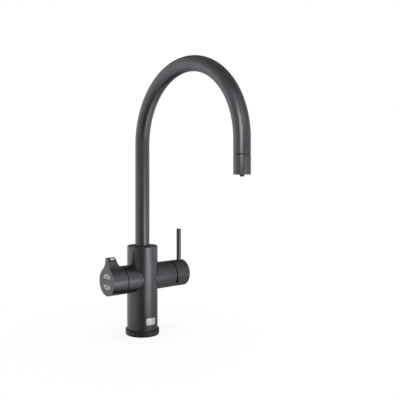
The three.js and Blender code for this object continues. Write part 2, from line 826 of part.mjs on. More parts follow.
function add_dial_bearing(left) {
  const radius = left_boss_bore_radius - fit;
  const front = -left_boss_reach - dial_groove + fit;
  const disc_back = front + dial_bearing_thickness;
  const skirt_back = disc_back + dial_bearing_skirt;
  piece(left, 'dial_bearing', turned([
    [spindle_radius + fit, front],
    [radius, front],
    [radius, skirt_back],
    [radius - dial_bearing_skirt_wall, skirt_back],
    [radius - dial_bearing_skirt_wall, disc_back],
    [spindle_radius + fit, disc_back],
  ], medium), black_plastic);

  const clip_front = disc_back + fit;
  const clip_back = clip_front + spindle_clip_thickness;
  piece(left, 'spindle_clip', ring(spindle_radius + fit, spindle_clip_radius,
    clip_front, clip_back, small), steel);

  const holder_front = clip_back + fit;
  const holder_back = holder_front + magnet_holder_length;
  const spindle_end = holder_back - magnet_holder_web - fit;
  piece(left, 'magnet_holder', turned([
    [spindle_radius + fit, holder_front],
    [magnet_holder_radius, holder_front],
    [magnet_holder_radius, holder_back],
    [magnet_holder_screw_radius, holder_back],
    [magnet_holder_screw_radius, holder_back - magnet_holder_web],
    [spindle_radius + fit, holder_back - magnet_holder_web],
  ], small), black_plastic);

  const hub_front = -dial_back - fit;
  piece(left, 'dial_spindle',
    rod(spindle_radius, hub_front - spindle_in_hub, spindle_end, small), steel);

  const board_front = skirt_back + fit;
  piece(left, 'sensor_board',
    rod(radius - fit, board_front, board_front + circuit_board_thickness, coarse), board_green);
}

// What lies behind the fin: its back leans away from the column, steeply from the tip and then in
// a flatter run down to the round head.
function fin_back_wedge() {
  const lean = dial_fin_back_run / dial_fin_back_drop;
  const knee_x = dial_fin_back_top - dial_fin_back_run;
  const knee_y = dial_tip_height - dial_fin_back_drop;
  const foot_lean = (knee_x - dial_back) / (knee_y - dial_fin_foot_height);
  const over = dial_tip_height + overcut;
  // The outline is (distance from the column, height), so it is pushed across the dial.
  const behind = new THREE.Shape([
    point(dial_fin_back_top + overcut * lean, over),
    point(knee_x, knee_y),
    point(dial_back - overcut, dial_fin_foot_height - overcut / foot_lean),
    point(dial_back - overcut, over),
  ]);
  const across = 2 * left_boss_radius;
  const to_side = new THREE.Matrix4().set(0, 0, 1, 0, 0, 1, 0, 0, -1, 0, 0, 0, 0, 0, 0, 1);
  return solid(raised(behind, -across / 2, across / 2).applyMatrix4(to_side));
}

function add_dial_knob(left) {
  const head = solid(rod(left_boss_radius, -dial_reach, -dial_back, fine));
  const fin = solid(raised(teardrop(), -dial_reach, -dial_back, 9));
  const bore = rod(dial_bore_radius, -dial_face_back, -dial_back + overcut, medium);
  const slot = block(
    [-left_boss_radius, safety_slot_floor, -safety_slot_outer],
    [left_boss_radius, dial_tip_height + overcut, -dial_back]);
  const spring_hole = drilling([0, safety_hole_bottom, -safety_stem_x],
    [0, safety_slot_floor + overcut, -safety_stem_x], safety_hole_radius);
  const windows = [1, -1].map((side) =>
    raised(half_moon(side, fit), -dial_reach - overcut, -dial_face_back + overcut, 5));
  const shell = head.add(fin.subtract(fin_back_wedge()));
  piece(left, 'dial_knob', less(shell, bore, slot, spring_hole, ...windows), matt_black);
}

function add_dial_inside(left) {
  const radius = dial_bore_radius - fit;
  const pad_back = -dial_face_back + fit + pad_flange_thickness;
  const switch_front = pad_back + pad_travel + fit;
  const switch_back = switch_front + switch_height;
  const board_front = switch_back + fit;
  const board_back = board_front + circuit_board_thickness;
  const hub_front = board_back + fit;
  const hub = solid(rod(radius, hub_front, -dial_back - fit, medium));
  const spindle_bore = rod(spindle_radius + fit, -dial_back - spindle_in_hub - 2 * fit,
    -dial_back + overcut, small);
  piece(left, 'dial_hub', less(hub, spindle_bore), black_plastic);
  piece(left, 'switch_board', rod(radius - fit, board_front, board_back, coarse), board_green);

  const half = switch_width / 2;
  for (const [name, side] of [['upper', 1], ['lower', -1]]) {
    piece(left, `${name}_switch`, block(
      [-half, side * switch_offset - half, switch_front],
      [half, side * switch_offset + half, switch_back]), white_plastic);
    const front = -dial_reach + pad_recess;
    const flange_front = -dial_face_back + fit;
    const key = raised(half_moon(side, 0), front, flange_front + pad_flange_thickness, 5);
    const flange = raised(half_moon(side, pad_flange), flange_front, pad_back, 5);
    piece(left, `${name}_pad`, plus(solid(key), flange), pad_plastic);
  }
}

// The spring's coil about Z.
class Coil extends THREE.Curve {
  constructor(radius, height, turns) {
    super();
    this.radius = radius;
    this.height = height;
    this.turns = turns;
  }

  getPoint(t, target = new THREE.Vector3()) {
    const angle = 2 * Math.PI * this.turns * t;
    return target.set(this.radius * Math.cos(angle), this.radius * Math.sin(angle),
      this.height * t);
  }
}

// The black guide fills the slot round the button: a floor with a hole for the spring, and an end
// block in front and behind, all with the tip's own outline.
function add_safety_bezel(left) {
  const blank = solid(raised(teardrop(), -safety_slot_outer + fit, -dial_back, 9));
  const above_floor = block(
    [-left_boss_radius, safety_slot_floor + fit, -dial_reach],
    [left_boss_radius, dial_tip_height + overcut, 0]);
  const guide = blank.subtract(fin_back_wedge()).intersect(solid(above_floor));
  const well = block(
    [-left_boss_radius, safety_bezel_top, -safety_button_outer_x - fit],
    [left_boss_radius, dial_tip_height + overcut, -safety_button_inner_x + fit]);
  const spring_way = drilling([0, safety_slot_floor, -safety_stem_x],
    [0, safety_bezel_top + overcut, -safety_stem_x], safety_hole_radius);
  piece(left, 'safety_bezel', less(guide, well, spring_way), black_plastic);
}

function add_safety_button(left) {
  const tip = solid(raised(teardrop(), -safety_button_outer_x, -safety_button_inner_x, 9));
  const window = solid(block(
    [-left_boss_radius, safety_button_bottom, -dial_reach],
    [left_boss_radius, safety_button_top, 0]));
  const stem = drilling([0, safety_button_bottom - safety_stem_length, -safety_stem_x],
    [0, safety_button_bottom + overcut, -safety_stem_x], safety_stem_radius);
  piece(left, 'safety_button', plus(tip.intersect(window), stem), silver);

  const wire = safety_spring_wire;
  const spring_bottom = safety_hole_bottom + fit + wire;
  const spring_top = safety_button_bottom - fit - wire;
  const coil = new Coil(safety_spring_radius - wire, spring_top - spring_bottom,
    safety_spring_turns);
  const section = new THREE.Shape(Array.from({ length: safety_spring_sides }, (_, side) => {
    const angle = (2 * Math.PI * side) / safety_spring_sides;
    return point(wire * Math.cos(angle), wire * Math.sin(angle));
  }));
  const spring = new THREE.ExtrudeGeometry(section, {
    steps: 8 * safety_spring_turns, bevelEnabled: false, extrudePath: coil,
  });
  const mesh = piece(tap, 'safety_spring', spring, steel);
  mesh.position.set(-safety_stem_x, 0, handle_height + spring_bottom);
}

function add_dial() {
  const left = side_group();
  add_left_boss(left);
  add_dial_bearing(left);
  add_dial_knob(left);
  add_dial_inside(left);
  add_safety_bezel(left);
  add_safety_button(left);
}

// ---------------------------------------------------------------- right mixer

function add_right_boss(right) {
  const tube = turned([
    [right_boss_bore_radius, 0],
    [right_boss_radius, 0],
    [right_boss_radius, right_boss_reach - boss_chamfer],
    [right_boss_radius - boss_chamfer, right_boss_reach],
    [right_boss_bore_radius, right_boss_reach],
  ], fine);
  piece(right, 'right_boss', less(solid(tube), column_saddle()), matt_black);
}

// The three waterways through the cartridge: hot and cold below, mixed water above.
function cartridge_ports(from, to) {
  const low = -inlet_port_drop;
  return [[port_offset, low], [-port_offset, low], [0, outlet_port_rise]].map(([x, y]) =>
    drilling([x, y, from - overcut], [x, y, to + overcut], waterway_radius));
}

// The stack inside the cartridge, outwards along the mixer's axis from the manifold core.
const cartridge_start = core_half_waist + fit;
const cartridge_base_end = cartridge_start + cartridge_base_thickness;
const fixed_disc_start = cartridge_base_end + 2 * fit;
const fixed_disc_end = fixed_disc_start + ceramic_disc_thickness;
const moving_disc_start = fixed_disc_end + fit;
const moving_disc_end = moving_disc_start + ceramic_disc_thickness;
const coupler_start = moving_disc_end + fit;
const coupler_end = coupler_start + coupler_thickness;
const rotor_start = coupler_end + fit;
const stem_ball_x = coupler_start + stem_ball_radius;

function add_cartridge(right) {
  const base_disc = solid(rod(cartridge_radius, cartridge_start, cartridge_base_end, medium));
  piece(right, 'cartridge_base',
    less(base_disc, ...cartridge_ports(cartridge_start, cartridge_base_end)), white_plastic);

  const inside = cartridge_radius - cartridge_wall;
  const front_wall = cartridge_front - cartridge_wall;
  const rotor_hole = rotor_neck_radius + rotor_bearing_play;
  piece(right, 'cartridge_housing', turned([
    [inside, cartridge_base_end + fit],
    [cartridge_radius, cartridge_base_end + fit],
    [cartridge_radius, cartridge_front],
    [rotor_hole, cartridge_front],
    [rotor_hole, front_wall],
    [inside, front_wall],
  ], medium), white_plastic);

  const fixed_disc = solid(rod(inside - fit, fixed_disc_start, fixed_disc_end, medium));
  piece(right, 'fixed_ceramic_disc',
    less(fixed_disc, ...cartridge_ports(fixed_disc_start, fixed_disc_end)), ceramic);

  // The moving disc joins the ports through a recess in its face.
  const recess = block([-port_offset, -inlet_port_drop, moving_disc_start - overcut],
    [port_offset, moving_disc_radius / 2, moving_disc_start + ceramic_disc_thickness / 2]);
  const moving_disc = solid(rod(moving_disc_radius, moving_disc_start, moving_disc_end, coarse));
  piece(right, 'moving_ceramic_disc', less(moving_disc, recess), ceramic);

  const coupler_disc = solid(rod(moving_disc_radius, coupler_start, coupler_end, coarse));
  const ball_slot = block(
    [-stem_width / 2 - fit, -stem_ball_radius - fit, coupler_start - overcut],
    [stem_width / 2 + fit, stem_ball_radius + fit, coupler_end + overcut]);
  piece(right, 'disc_coupler', less(coupler_disc, ball_slot), white_plastic);

  // The rotor turns in the housing's front wall, and its slot lets the stem tilt.
  const flange = solid(rod(inside - fit, rotor_start, front_wall - fit, medium));
  const neck = rod(rotor_neck_radius, rotor_start + overcut, rotor_reach, coarse);
  const slot = block(
    [-stem_width / 2 - fit, -rotor_slot_half_height, rotor_start - overcut],
    [stem_width / 2 + fit, rotor_slot_half_height, rotor_reach + overcut]);
  const pin_hole = drilling([-cartridge_radius, 0, mixer_pivot_x],
    [cartridge_radius, 0, mixer_pivot_x], stem_pin_radius + fit);
  piece(right, 'cartridge_rotor', less(plus(flange, neck), slot, pin_hole), black_plastic);

  piece(right, 'cartridge_nut', ring(rotor_hole, cartridge_nut_radius,
    cartridge_front + fit, cartridge_nut_end, medium), brass);
  piece(right, 'stem_pin', drilling([-stem_pin_length / 2, 0, mixer_pivot_x],
    [stem_pin_length / 2, 0, mixer_pivot_x], stem_pin_radius), steel);
}

// The stem's side outline: a ball end in the coupler, a thin neck and a square bar to the cap.
function add_stem(right) {
  const ball = stem_ball_radius;
  const half_neck = stem_neck_height / 2;
  const half_bar = stem_height / 2;
  const neck_run = Math.sqrt(ball ** 2 - half_neck ** 2);
  const bar_start = stem_ball_x + ball + stem_neck_length;
  const open = Math.atan2(half_neck, neck_run);
  const outline = new THREE.Shape();
  outline.moveTo(stem_ball_x + neck_run, half_neck);
  outline.absarc(stem_ball_x, 0, ball, open, 2 * Math.PI - open, false);
  outline.lineTo(bar_start, -half_neck);
  outline.lineTo(bar_start + half_bar - half_neck, -half_bar);
  outline.lineTo(stem_reach, -half_bar);
  outline.lineTo(stem_reach, half_bar);
  outline.lineTo(bar_start + half_bar - half_neck, half_bar);
  outline.lineTo(bar_start, half_neck);
  outline.closePath();
  const hole = new THREE.Path();
  hole.absarc(mixer_pivot_x, 0, stem_pin_radius + fit, 0, 2 * Math.PI, true);
  outline.holes.push(hole);
  // Pushed up as (distance along the mixer, height), then turned to lie in the mixer's plane.
  const bar = raised(outline, -stem_width / 2, stem_width / 2, 3);
  const to_mixer = new THREE.Matrix4().set(0, 0, -1, 0, 0, 1, 0, 0, 1, 0, 0, 0, 0, 0, 0, 1);
  piece(right, 'cartridge_stem', bar.applyMatrix4(to_mixer), steel);
}

function add_mixer_cap(right) {
  const round = cap_rounding;
  const radius = right_boss_radius;
  const corners = [point(0, cap_web_x), point(cap_bore_radius, cap_web_x),
    point(cap_bore_radius, cap_rim), point(radius, cap_rim)];
  for (const angle of [0, 30, 60, 90]) {
    corners.push(point(radius - round + round * Math.cos(degrees(angle)),
      cap_reach - round + round * Math.sin(degrees(angle))));
  }
  corners.push(point(0, cap_reach));
  const cup = solid(new THREE.LatheGeometry(corners, fine).applyMatrix4(z_to_x));

  // Below its middle the rim slants back, which leaves room for the cap to tilt.
  const drop = radius + overcut;
  const slant = new THREE.Shape([
    point(cap_rim - overcut, 0),
    point(cap_rim - overcut, -drop),
    point(cap_rim + drop * Math.tan(degrees(mixer_tilt)), -drop),
    point(cap_rim, 0),
  ]);
  const to_mixer = new THREE.Matrix4().set(0, 0, -1, 0, 0, 1, 0, 0, 1, 0, 0, 0, 0, 0, 0, 1);
  const wedge = raised(slant, -drop, drop).applyMatrix4(to_mixer);

  const stem_socket = block(
    [-stem_width / 2 - fit, -stem_height / 2 - fit, cap_web_x - overcut],
    [stem_width / 2 + fit, stem_height / 2 + fit, stem_reach + fit]);
  const rod_hole = drilling([0, rod_seat_height, rod_x], [0, radius + overcut, rod_x],
    rod_radius + fit, small);
  const screw_hole = drilling([0, -radius - overcut, cap_screw_x], [0, 0, cap_screw_x],
    cap_screw_radius + fit);
  piece(right, 'mixer_cap', less(cup, wedge, stem_socket, rod_hole, screw_hole), matt_black);

  piece(right, 'cap_grub_screw', drilling([0, -radius + cap_screw_recess, cap_screw_x],
    [0, -stem_height / 2 - fit, cap_screw_x], cap_screw_radius), steel);

  const lever = rod(rod_radius, handle_height + rod_seat_height + fit, rod_top, small,
    rod_chamfer);
  piece(tap, 'lever_rod', lever, matt_black).position.x = rod_x;
}

function add_mixer() {
  const right = side_group();
  add_right_boss(right);
  add_cartridge(right);
  add_stem(right);
  add_mixer_cap(right);
}

// ---------------------------------------------------------------- the whole tap

add_worktop_fixing();
add_foot();
add_column();
add_core();
add_tails();
add_spout_socket();
add_spout();
add_nozzle();
add_dial();
add_mixer();

export default tap;
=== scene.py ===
# %% [markdown]
# # A boiling water tap, built round its own CAD model
#
# This lesson dresses a kitchen tap that pours mixed, chilled and boiling water: a round column with
# a gooseneck spout, a teardrop dial on the left and a single lever mixer on the right. The packed
# CAD model is the fixed frame, with real sizes and moving bodies. Each cell makes one real piece of
# the tap and hangs it on the body that carries it.

import math

import bmesh
import bpy
from mathutils import Matrix, Vector


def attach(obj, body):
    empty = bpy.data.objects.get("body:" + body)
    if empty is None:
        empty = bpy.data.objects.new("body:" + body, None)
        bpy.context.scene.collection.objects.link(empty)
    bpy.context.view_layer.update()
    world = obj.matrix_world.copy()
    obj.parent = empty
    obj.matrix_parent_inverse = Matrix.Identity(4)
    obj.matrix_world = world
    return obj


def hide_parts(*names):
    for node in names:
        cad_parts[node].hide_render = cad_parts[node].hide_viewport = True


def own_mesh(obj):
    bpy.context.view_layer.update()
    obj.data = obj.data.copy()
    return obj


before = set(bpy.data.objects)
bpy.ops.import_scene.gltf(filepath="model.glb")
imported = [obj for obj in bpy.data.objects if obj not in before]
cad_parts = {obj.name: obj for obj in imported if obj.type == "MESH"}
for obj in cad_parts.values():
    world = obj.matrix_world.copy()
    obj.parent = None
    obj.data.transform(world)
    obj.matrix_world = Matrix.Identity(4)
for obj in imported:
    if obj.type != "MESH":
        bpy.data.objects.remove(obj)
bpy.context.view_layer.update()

# %% [markdown]
# ## The camera
#
# The photograph was taken with a level camera a little above the worktop, from the tap's front
# left. Its lens and its offset were found by fitting known points of the tap to the picture. A
# lens shift frames the tap off centre, which keeps its vertical lines vertical.

# %% Camera
camera_data = bpy.data.cameras.new("studio_camera")
camera_data.sensor_width = 36
camera_data.lens = 51.18
camera_data.shift_x = 0.0930
camera_data.shift_y = -0.0763
camera_data.clip_start = 0.05
camera_data.clip_end = 200
camera = bpy.data.objects.new("studio_camera", camera_data)
camera.location = (-0.5101, -0.7391, 0.258)
camera.rotation_euler = (math.radians(90), 0, math.radians(-36.67))
bpy.context.scene.collection.objects.link(camera)
bpy.context.scene.camera = camera
bpy.context.scene.view_settings.view_transform = "Standard"
print("camera at", tuple(camera.location))

# %% [markdown]
# ## One way to add a node, one way to write a colour
#
# Every finish below is a small network of nodes, so one function adds a node, sets its options and
# fills or links its sockets. Colours are written as the sRGB hex values a designer would use, and
# one function turns them into the linear values that Blender calculates with.

# %% Node and colour helpers
def linear(hex_colour):
    """An sRGB hex colour as linear red, green, blue and alpha."""
    parts = [int(hex_colour[i : i + 2], 16) / 255 for i in (1, 3, 5)]
    return [c / 12.92 if c <= 0.04045 else ((c + 0.055) / 1.055) ** 2.4 for c in parts] + [1.0]


def node(tree, kind, inputs=None, stops=None, **settings):
    """Adds a node: inputs maps sockets to values or sockets, and stops fills a ramp with greys."""
    made = tree.nodes.new(kind)
    for place, grey in sorted((stops or {}).items()):
        stop = made.color_ramp.elements.new(place)
        stop.color = (grey, grey, grey, 1)
    for name, value in settings.items():
        setattr(made, name, value)
    for name, value in (inputs or {}).items():
        if isinstance(value, bpy.types.NodeSocket):
            tree.links.new(value, made.inputs[name])
        else:
            made.inputs[name].default_value = value
    return made


def new_tree(owner):
    """Switches a material or a world to an empty node tree."""
    owner.use_nodes = True
    owner.node_tree.nodes.clear()
    return owner.node_tree


def per_mm(millimetres):
    """The texture scale that repeats a pattern once in this many millimetres."""
    return 1000 / millimetres


# %% [markdown]
# ## The studio
#
# Satin black metal has no colour of its own to show: the eye reads its shape from what it mirrors.
# So the studio is planned wall by wall. Low down it is dark behind the camera, which draws the near
# black band down every tube, and white behind the tap, which draws the pale edges. A broad soft
# light hangs above the camera. The camera itself sees plain white, and matt surfaces get an even
# light.

# %% The walls' brightness
# Degrees run from the tap's front towards its left, and a brightness of 1 is white paper.
LOW_WALL = {-180: 1.40, -150: 0.92, -120: 0.99, -90: 1.05, -60: 0.74, -35: 0.45, -15: 0.26,
            0: 0.14, 15: 0.0, 60: 0.0, 90: 0.20, 120: 0.72, 150: 1.57, 180: 1.40}
HIGH_WALL = {-180: 0.31, -135: 0.0, -90: 0.52, -45: 0.60, 0: 1.30, 45: 1.48, 90: 0.59,
             135: 0.66, 180: 0.31}
CEILING = 0.30
LOW_TO_HIGH = (0, 25)      # degrees above the horizon where the low wall blends into the high wall
HIGH_TO_CEILING = (25, 60)
ROOM_LIGHT = 0.80          # what matt surfaces receive from every side


def all_round(walls):
    """Ramp stops for walls given by their angle: 0 and 1 are both straight behind the tap."""
    return {(angle + 180) / 360: brightness for angle, brightness in walls.items()}


def wall_angle(tree, vector):
    """The angle of a direction or a place round the tap, as a number from 0 to 1."""
    parts = node(tree, "ShaderNodeSeparateXYZ", {0: vector})
    left = node(tree, "ShaderNodeMath", {0: parts.outputs["X"], 1: -1.0}, operation="MULTIPLY")
    front = node(tree, "ShaderNodeMath", {0: parts.outputs["Y"], 1: -1.0}, operation="MULTIPLY")
    angle = node(
        tree, "ShaderNodeMath", {0: left.outputs[0], 1: front.outputs[0]}, operation="ARCTAN2")
    return node(
        tree, "ShaderNodeMapRange",
        {"Value": angle.outputs[0], "From Min": -math.pi, "From Max": math.pi},
    ).outputs[0]


# %% World
world = bpy.data.worlds.new("studio_room")
bpy.context.scene.world = world
tree = new_tree(world)
direction = node(tree, "ShaderNodeTexCoord").outputs["Generated"]
around = wall_angle(tree, direction)
low = node(tree, "ShaderNodeValToRGB", {0: around}, stops=all_round(LOW_WALL))
high = node(tree, "ShaderNodeValToRGB", {0: around}, stops=all_round(HIGH_WALL))
height = node(tree, "ShaderNodeSeparateXYZ", {0: direction}).outputs["Z"]
steepness = node(tree, "ShaderNodeMath", {0: height}, operation="ARCSINE")
brightness = low.outputs[0]
for (start, stop), next_wall in ((LOW_TO_HIGH, high.outputs[0]), (HIGH_TO_CEILING, CEILING)):
    blend = node(
        tree, "ShaderNodeMapRange",
        {"Value": steepness.outputs[0], "From Min": math.radians(start),
         "From Max": math.radians(stop)},
    )
    brightness = node(
        tree, "ShaderNodeMix",
        {"Factor": blend.outputs[0], "A": brightness, "B": next_wall}).outputs[0]
ray = node(tree, "ShaderNodeLightPath")
mirror_ray = node(
    tree, "ShaderNodeMath",
    {0: ray.outputs["Is Glossy Ray"], 1: ray.outputs["Is Transmission Ray"]}, operation="MAXIMUM",
)
mirrored_or_lit = node(
    tree, "ShaderNodeMix", {"Factor": mirror_ray.outputs[0], "A": ROOM_LIGHT, "B": brightness})
strength = node(
    tree, "ShaderNodeMix",
    {"Factor": ray.outputs["Is Camera Ray"], "A": mirrored_or_lit.outputs[0], "B": 1.0})
room = node(
    tree, "ShaderNodeBackground", {"Color": linear("#ffffff"), "Strength": strength.outputs[0]})
node(tree, "ShaderNodeOutputWorld", {"Surface": room.outputs[0]})
print("world:", len(LOW_WALL), "stops low down,", len(HIGH_WALL), "higher up")

# %% Lamps
def soft_lamp(name, place, facing, width, length, brightness, mirrored=True):
    """A rectangular studio lamp with an even face; its length stands upright."""
    data = bpy.data.lights.new(name, "AREA")
    data.shape = "RECTANGLE"
    data.size = width
    data.size_y = length
    data.energy = math.pi * width * length * brightness
    lamp = bpy.data.objects.new(name, data)
    lamp.location = place
    lamp.rotation_euler = Vector(facing).to_track_quat("-Z", "Y").to_euler()
    lamp.visible_camera = False
    lamp.visible_glossy = mirrored
    bpy.context.scene.collection.objects.link(lamp)
    print(name, "at", place, round(data.energy, 3), "W")


# A short strip low in front draws the bright streak on the column, and a small card just above
# the floor lights up the side of the dial. A second strip stands close to the spout's free leg
# and is turned away from the column, so only that leg mirrors it. The overhead lamp gives the
# floor its soft shadow and isn't mirrored.
soft_lamp("low_strip", (0.06, -0.95, 0.09), (-0.06, 0.95, 0),
          width=0.12, length=0.16, brightness=9.0)
soft_lamp("handle_card", (0.14, -0.40, 0.04), (-0.19, 0.40, 0.05),
          width=0.12, length=0.07, brightness=2.4)
soft_lamp("spout_strip", (-0.14, -0.364, 0.34), (0.933, -0.359, 0),
          width=0.20, length=0.14, brightness=3.0)
soft_lamp("overhead", (0.1, -0.2, 1.7), (-0.1, 0.2, -1.7),
          width=1.2, length=1.2, brightness=2.0, mirrored=False)

# %% [markdown]
# ## The worktop
#
# A wide pale floor stands in for the worktop. It has the tap hole, hidden under the base ring,
# through which the shank passes. Close to the tap it takes the soft shadow, and further out it
# fades into the white of the room. What the tap mirrors of it is a painted glow, not lamp light:
# painted light in front and behind, and painted shade towards the camera and round the foot.

# %% Floor
FLOOR_HOLE = 0.0205
FLOOR_REACH = 40
FLOOR_STEPS = 96

floor_bm = bmesh.new()
for radius in (FLOOR_HOLE, FLOOR_REACH):
    bmesh.ops.create_circle(floor_bm, segments=FLOOR_STEPS, radius=radius)
bmesh.ops.bridge_loops(floor_bm, edges=floor_bm.edges[:])
bmesh.ops.recalc_face_normals(floor_bm, faces=floor_bm.faces[:])
for face in floor_bm.faces:
    if face.normal.z < 0:
        face.normal_flip()
floor_mesh = bpy.data.meshes.new("worktop_floor")
floor_bm.to_mesh(floor_mesh)
floor_bm.free()
floor = bpy.data.objects.new("worktop_floor", floor_mesh)
bpy.context.scene.collection.objects.link(floor)

# %% Its paper, lit, with a painted glow for mirrors
SHADOW_FROM, SHADOW_TO = 0.05, 0.30    # metres from the tap, where the shadow fades out
NEAR_WHITE = 0.86                      # share of plain white in the paper close to the tap
# Painted glow that the tap mirrors from the floor, in rings: radius in metres, and brightness by
# angle.
PAINTED_FLOOR_GLOW_RINGS = [
    (0.032, {-180: 0.30, -60: 0.25, 0: 0.25, 35: 0.05, 90: 0.25, 180: 0.30}),
    (0.10, {-180: 0.10, -90: 0.30, -15: 0.75, 30: 0.12, 90: 0.70, 180: 0.10}),
    (0.32, {-180: 0.75, -135: 0.08, -90: 0.54, -45: 0.60, -10: 1.70, 5: 1.35, 25: 0.05,
            50: 0.19, 90: 0.56, 135: 0.86, 180: 0.75}),
    (1.26, {-180: 1.22, -135: 0.15, -90: 1.12, -45: 0.97, -15: 1.10, 5: 0.85, 25: 0.09,
            50: 0.01, 90: 0.66, 135: 1.20, 180: 1.22}),
    (6.3, {-180: 0.55, 180: 0.55}),
]
paper = bpy.data.materials.new("matt_white_paper_with_painted_glow")
tree = new_tree(paper)
place = node(tree, "ShaderNodeTexCoord").outputs["Object"]
distance = node(tree, "ShaderNodeVectorMath", {0: place}, operation="LENGTH").outputs["Value"]
far_off = node(
    tree, "ShaderNodeMapRange",
    {"Value": distance, "From Min": SHADOW_FROM, "From Max": SHADOW_TO,
     "To Min": NEAR_WHITE, "To Max": 1},
    interpolation_type="SMOOTHSTEP",
)
ray = node(tree, "ShaderNodeLightPath")
camera_share = node(
    tree, "ShaderNodeMath", {0: ray.outputs["Is Camera Ray"], 1: far_off.outputs[0]},
    operation="MULTIPLY",
)
matt_white = node(tree, "ShaderNodeBsdfDiffuse", {"Color": linear("#f4f4f4")})
plain_white = node(tree, "ShaderNodeEmission", {"Color": linear("#ffffff"), "Strength": 1.0})
seen = node(
    tree, "ShaderNodeMixShader",
    {"Fac": camera_share.outputs[0], 1: matt_white.outputs[0], 2: plain_white.outputs[0]},
)
around = wall_angle(tree, place)
log_distance = node(tree, "ShaderNodeMath", {0: distance, 1: 10.0}, operation="LOGARITHM")
painted_glow_rings = [
    (radius, node(tree, "ShaderNodeValToRGB", {0: around}, stops=all_round(walls)).outputs[0])
    for radius, walls in PAINTED_FLOOR_GLOW_RINGS
]
mirrored = painted_glow_rings[0][1]
for (inner, _), (outer, ring) in zip(painted_glow_rings, painted_glow_rings[1:]):
    blend = node(
        tree, "ShaderNodeMapRange",
        {"Value": log_distance.outputs[0], "From Min": math.log10(inner),
         "From Max": math.log10(outer)},
    )
    mirrored = node(
        tree, "ShaderNodeMix",
        {"Factor": blend.outputs[0], "A": mirrored, "B": ring}).outputs[0]
# Painted light and shade: the floor glows for mirror rays with this painted brightness.
painted_floor_glow = node(
    tree, "ShaderNodeEmission", {"Color": linear("#ffffff"), "Strength": mirrored})
mirror_ray = node(
    tree, "ShaderNodeMath",
    {0: ray.outputs["Is Glossy Ray"], 1: ray.outputs["Is Transmission Ray"]}, operation="MAXIMUM",
)
mixed = node(
    tree, "ShaderNodeMixShader",
    {"Fac": mirror_ray.outputs[0], 1: seen.outputs[0], 2: painted_floor_glow.outputs[0]},
)
node(tree, "ShaderNodeOutputMaterial", {"Surface": mixed.outputs[0]})
floor_mesh.materials.append(paper)
print("floor reaches", FLOOR_REACH, "m")

# %% [markdown]
# ## Finishes
#
# Each finish starts from what the real surface is and how it was made. They share one recipe: a
# broad cloud shifts the colour and gloss a little, as no real surface is even, and a fine grain
# bends the light, as blasting, moulding or turning leaves it. The sizes of both are real
# millimetres.

# %% The shared recipe
TOOL_MARK_MM = 0.01        # depth of the lathe's rings


def surface_finish(name, colour, cloud_colour, roughness, metallic=0.0, cloud_mm=18,
                   grain_mm=0.35, grain_depth_mm=0.004, gloss_spread=0.05, turned_mm=0.0,
                   turned_axis="Z", ior=1.5):
    """A material with cloudy colour and gloss, a fine grain and, for turned parts, tool marks."""
    made = bpy.data.materials.new(name)
    tree = new_tree(made)
    place = node(tree, "ShaderNodeTexCoord").outputs["Object"]
    cloud = node(
        tree, "ShaderNodeTexNoise",
        {"Vector": place, "Scale": per_mm(cloud_mm), "Detail": 3.0})
    # Most of a noise lies between 0.3 and 0.7, so that range is spread over the whole effect.
    shade = node(
        tree, "ShaderNodeMapRange",
        {"Value": cloud.outputs[0], "From Min": 0.35, "From Max": 0.65},
    )
    tint = node(
        tree, "ShaderNodeMix",
        {"Factor": shade.outputs[0], 6: linear(colour), 7: linear(cloud_colour)}, data_type="RGBA",
    )
    gloss = node(
        tree, "ShaderNodeMapRange",
        {"Value": cloud.outputs[0], "From Min": 0.3, "From Max": 0.7,
         "To Min": roughness - gloss_spread, "To Max": roughness + gloss_spread},
    )
    grain = node(
        tree, "ShaderNodeTexNoise",
        {"Vector": place, "Scale": per_mm(grain_mm), "Detail": 2.0})
    relief = node(
        tree, "ShaderNodeBump",
        {"Height": grain.outputs[0], "Strength": 1.0, "Distance": grain_depth_mm / 1000},
    )
    if turned_mm > 0:
        # A wave's bands repeat every 2 pi / 20 of its scaled length.
        marks = node(
            tree, "ShaderNodeTexWave",
            {"Vector": place, "Scale": per_mm(turned_mm) * math.pi / 10, "Distortion": 0.4},
            wave_type="BANDS", bands_direction=turned_axis,
        )
        relief = node(
            tree, "ShaderNodeBump",
            {"Height": marks.outputs["Fac"], "Strength": 1.0, "Distance": TOOL_MARK_MM / 1000,
             "Normal": relief.outputs[0]},
        )
    skin = node(
        tree, "ShaderNodeBsdfPrincipled",
        {"Base Color": tint.outputs[2], "Roughness": gloss.outputs[0], "Metallic": metallic,
         "IOR": ior, "Normal": relief.outputs[0]},
    )
    node(tree, "ShaderNodeOutputMaterial", {"Surface": skin.outputs[0]})
    return made


# %% The finishes of this tap
# Black plating over blasted brass: a dark metal, so its reflections stay grey and soft-edged.
# The blast's real pits are too fine to show, so they are drawn 0.8 mm wide and very shallow.
black_plating = surface_finish(
    "satin_black_plating_on_blasted_brass", "#5b5d60", "#616366", 0.32, metallic=1.0,
    cloud_mm=30, grain_mm=0.8, grain_depth_mm=0.0003, gloss_spread=0.02)
# Injection-moulded acetal: a dull, slightly waxy black that swallows light in the gaps.
black_acetal = surface_finish("moulded_black_acetal", "#18181a", "#1e1e20", 0.55, grain_mm=0.3)
# Moulded silicone keys: an even warm grey with a soft, dry sheen.
grey_keys = surface_finish(
    "moulded_grey_silicone", "#a6a6a6", "#adadad", 0.5, cloud_mm=6, grain_mm=0.25)
# Bright nickel plating on the safety insert: pale, cool and mirror-like but for a slight haze.
nickel = surface_finish(
    "bright_nickel_plating", "#c6cad3", "#d2d6de", 0.22, metallic=1.0, cloud_mm=4, grain_mm=0.4,
    grain_depth_mm=0.001)
# Polished chrome: a clear mirror that takes its light and dark from the room.
chrome = surface_finish(
    "polished_chrome_plating", "#dfe1e4", "#e6e8ea", 0.09, metallic=1.0, cloud_mm=5, grain_mm=0.8,
    grain_depth_mm=0.0006, gloss_spread=0.02)
# Moulded rubber: nearly black, smooth where it is squeezed, dull where it isn't.
rubber = surface_finish("moulded_black_rubber", "#0e0e0f", "#141415", 0.34, grain_mm=0.4)
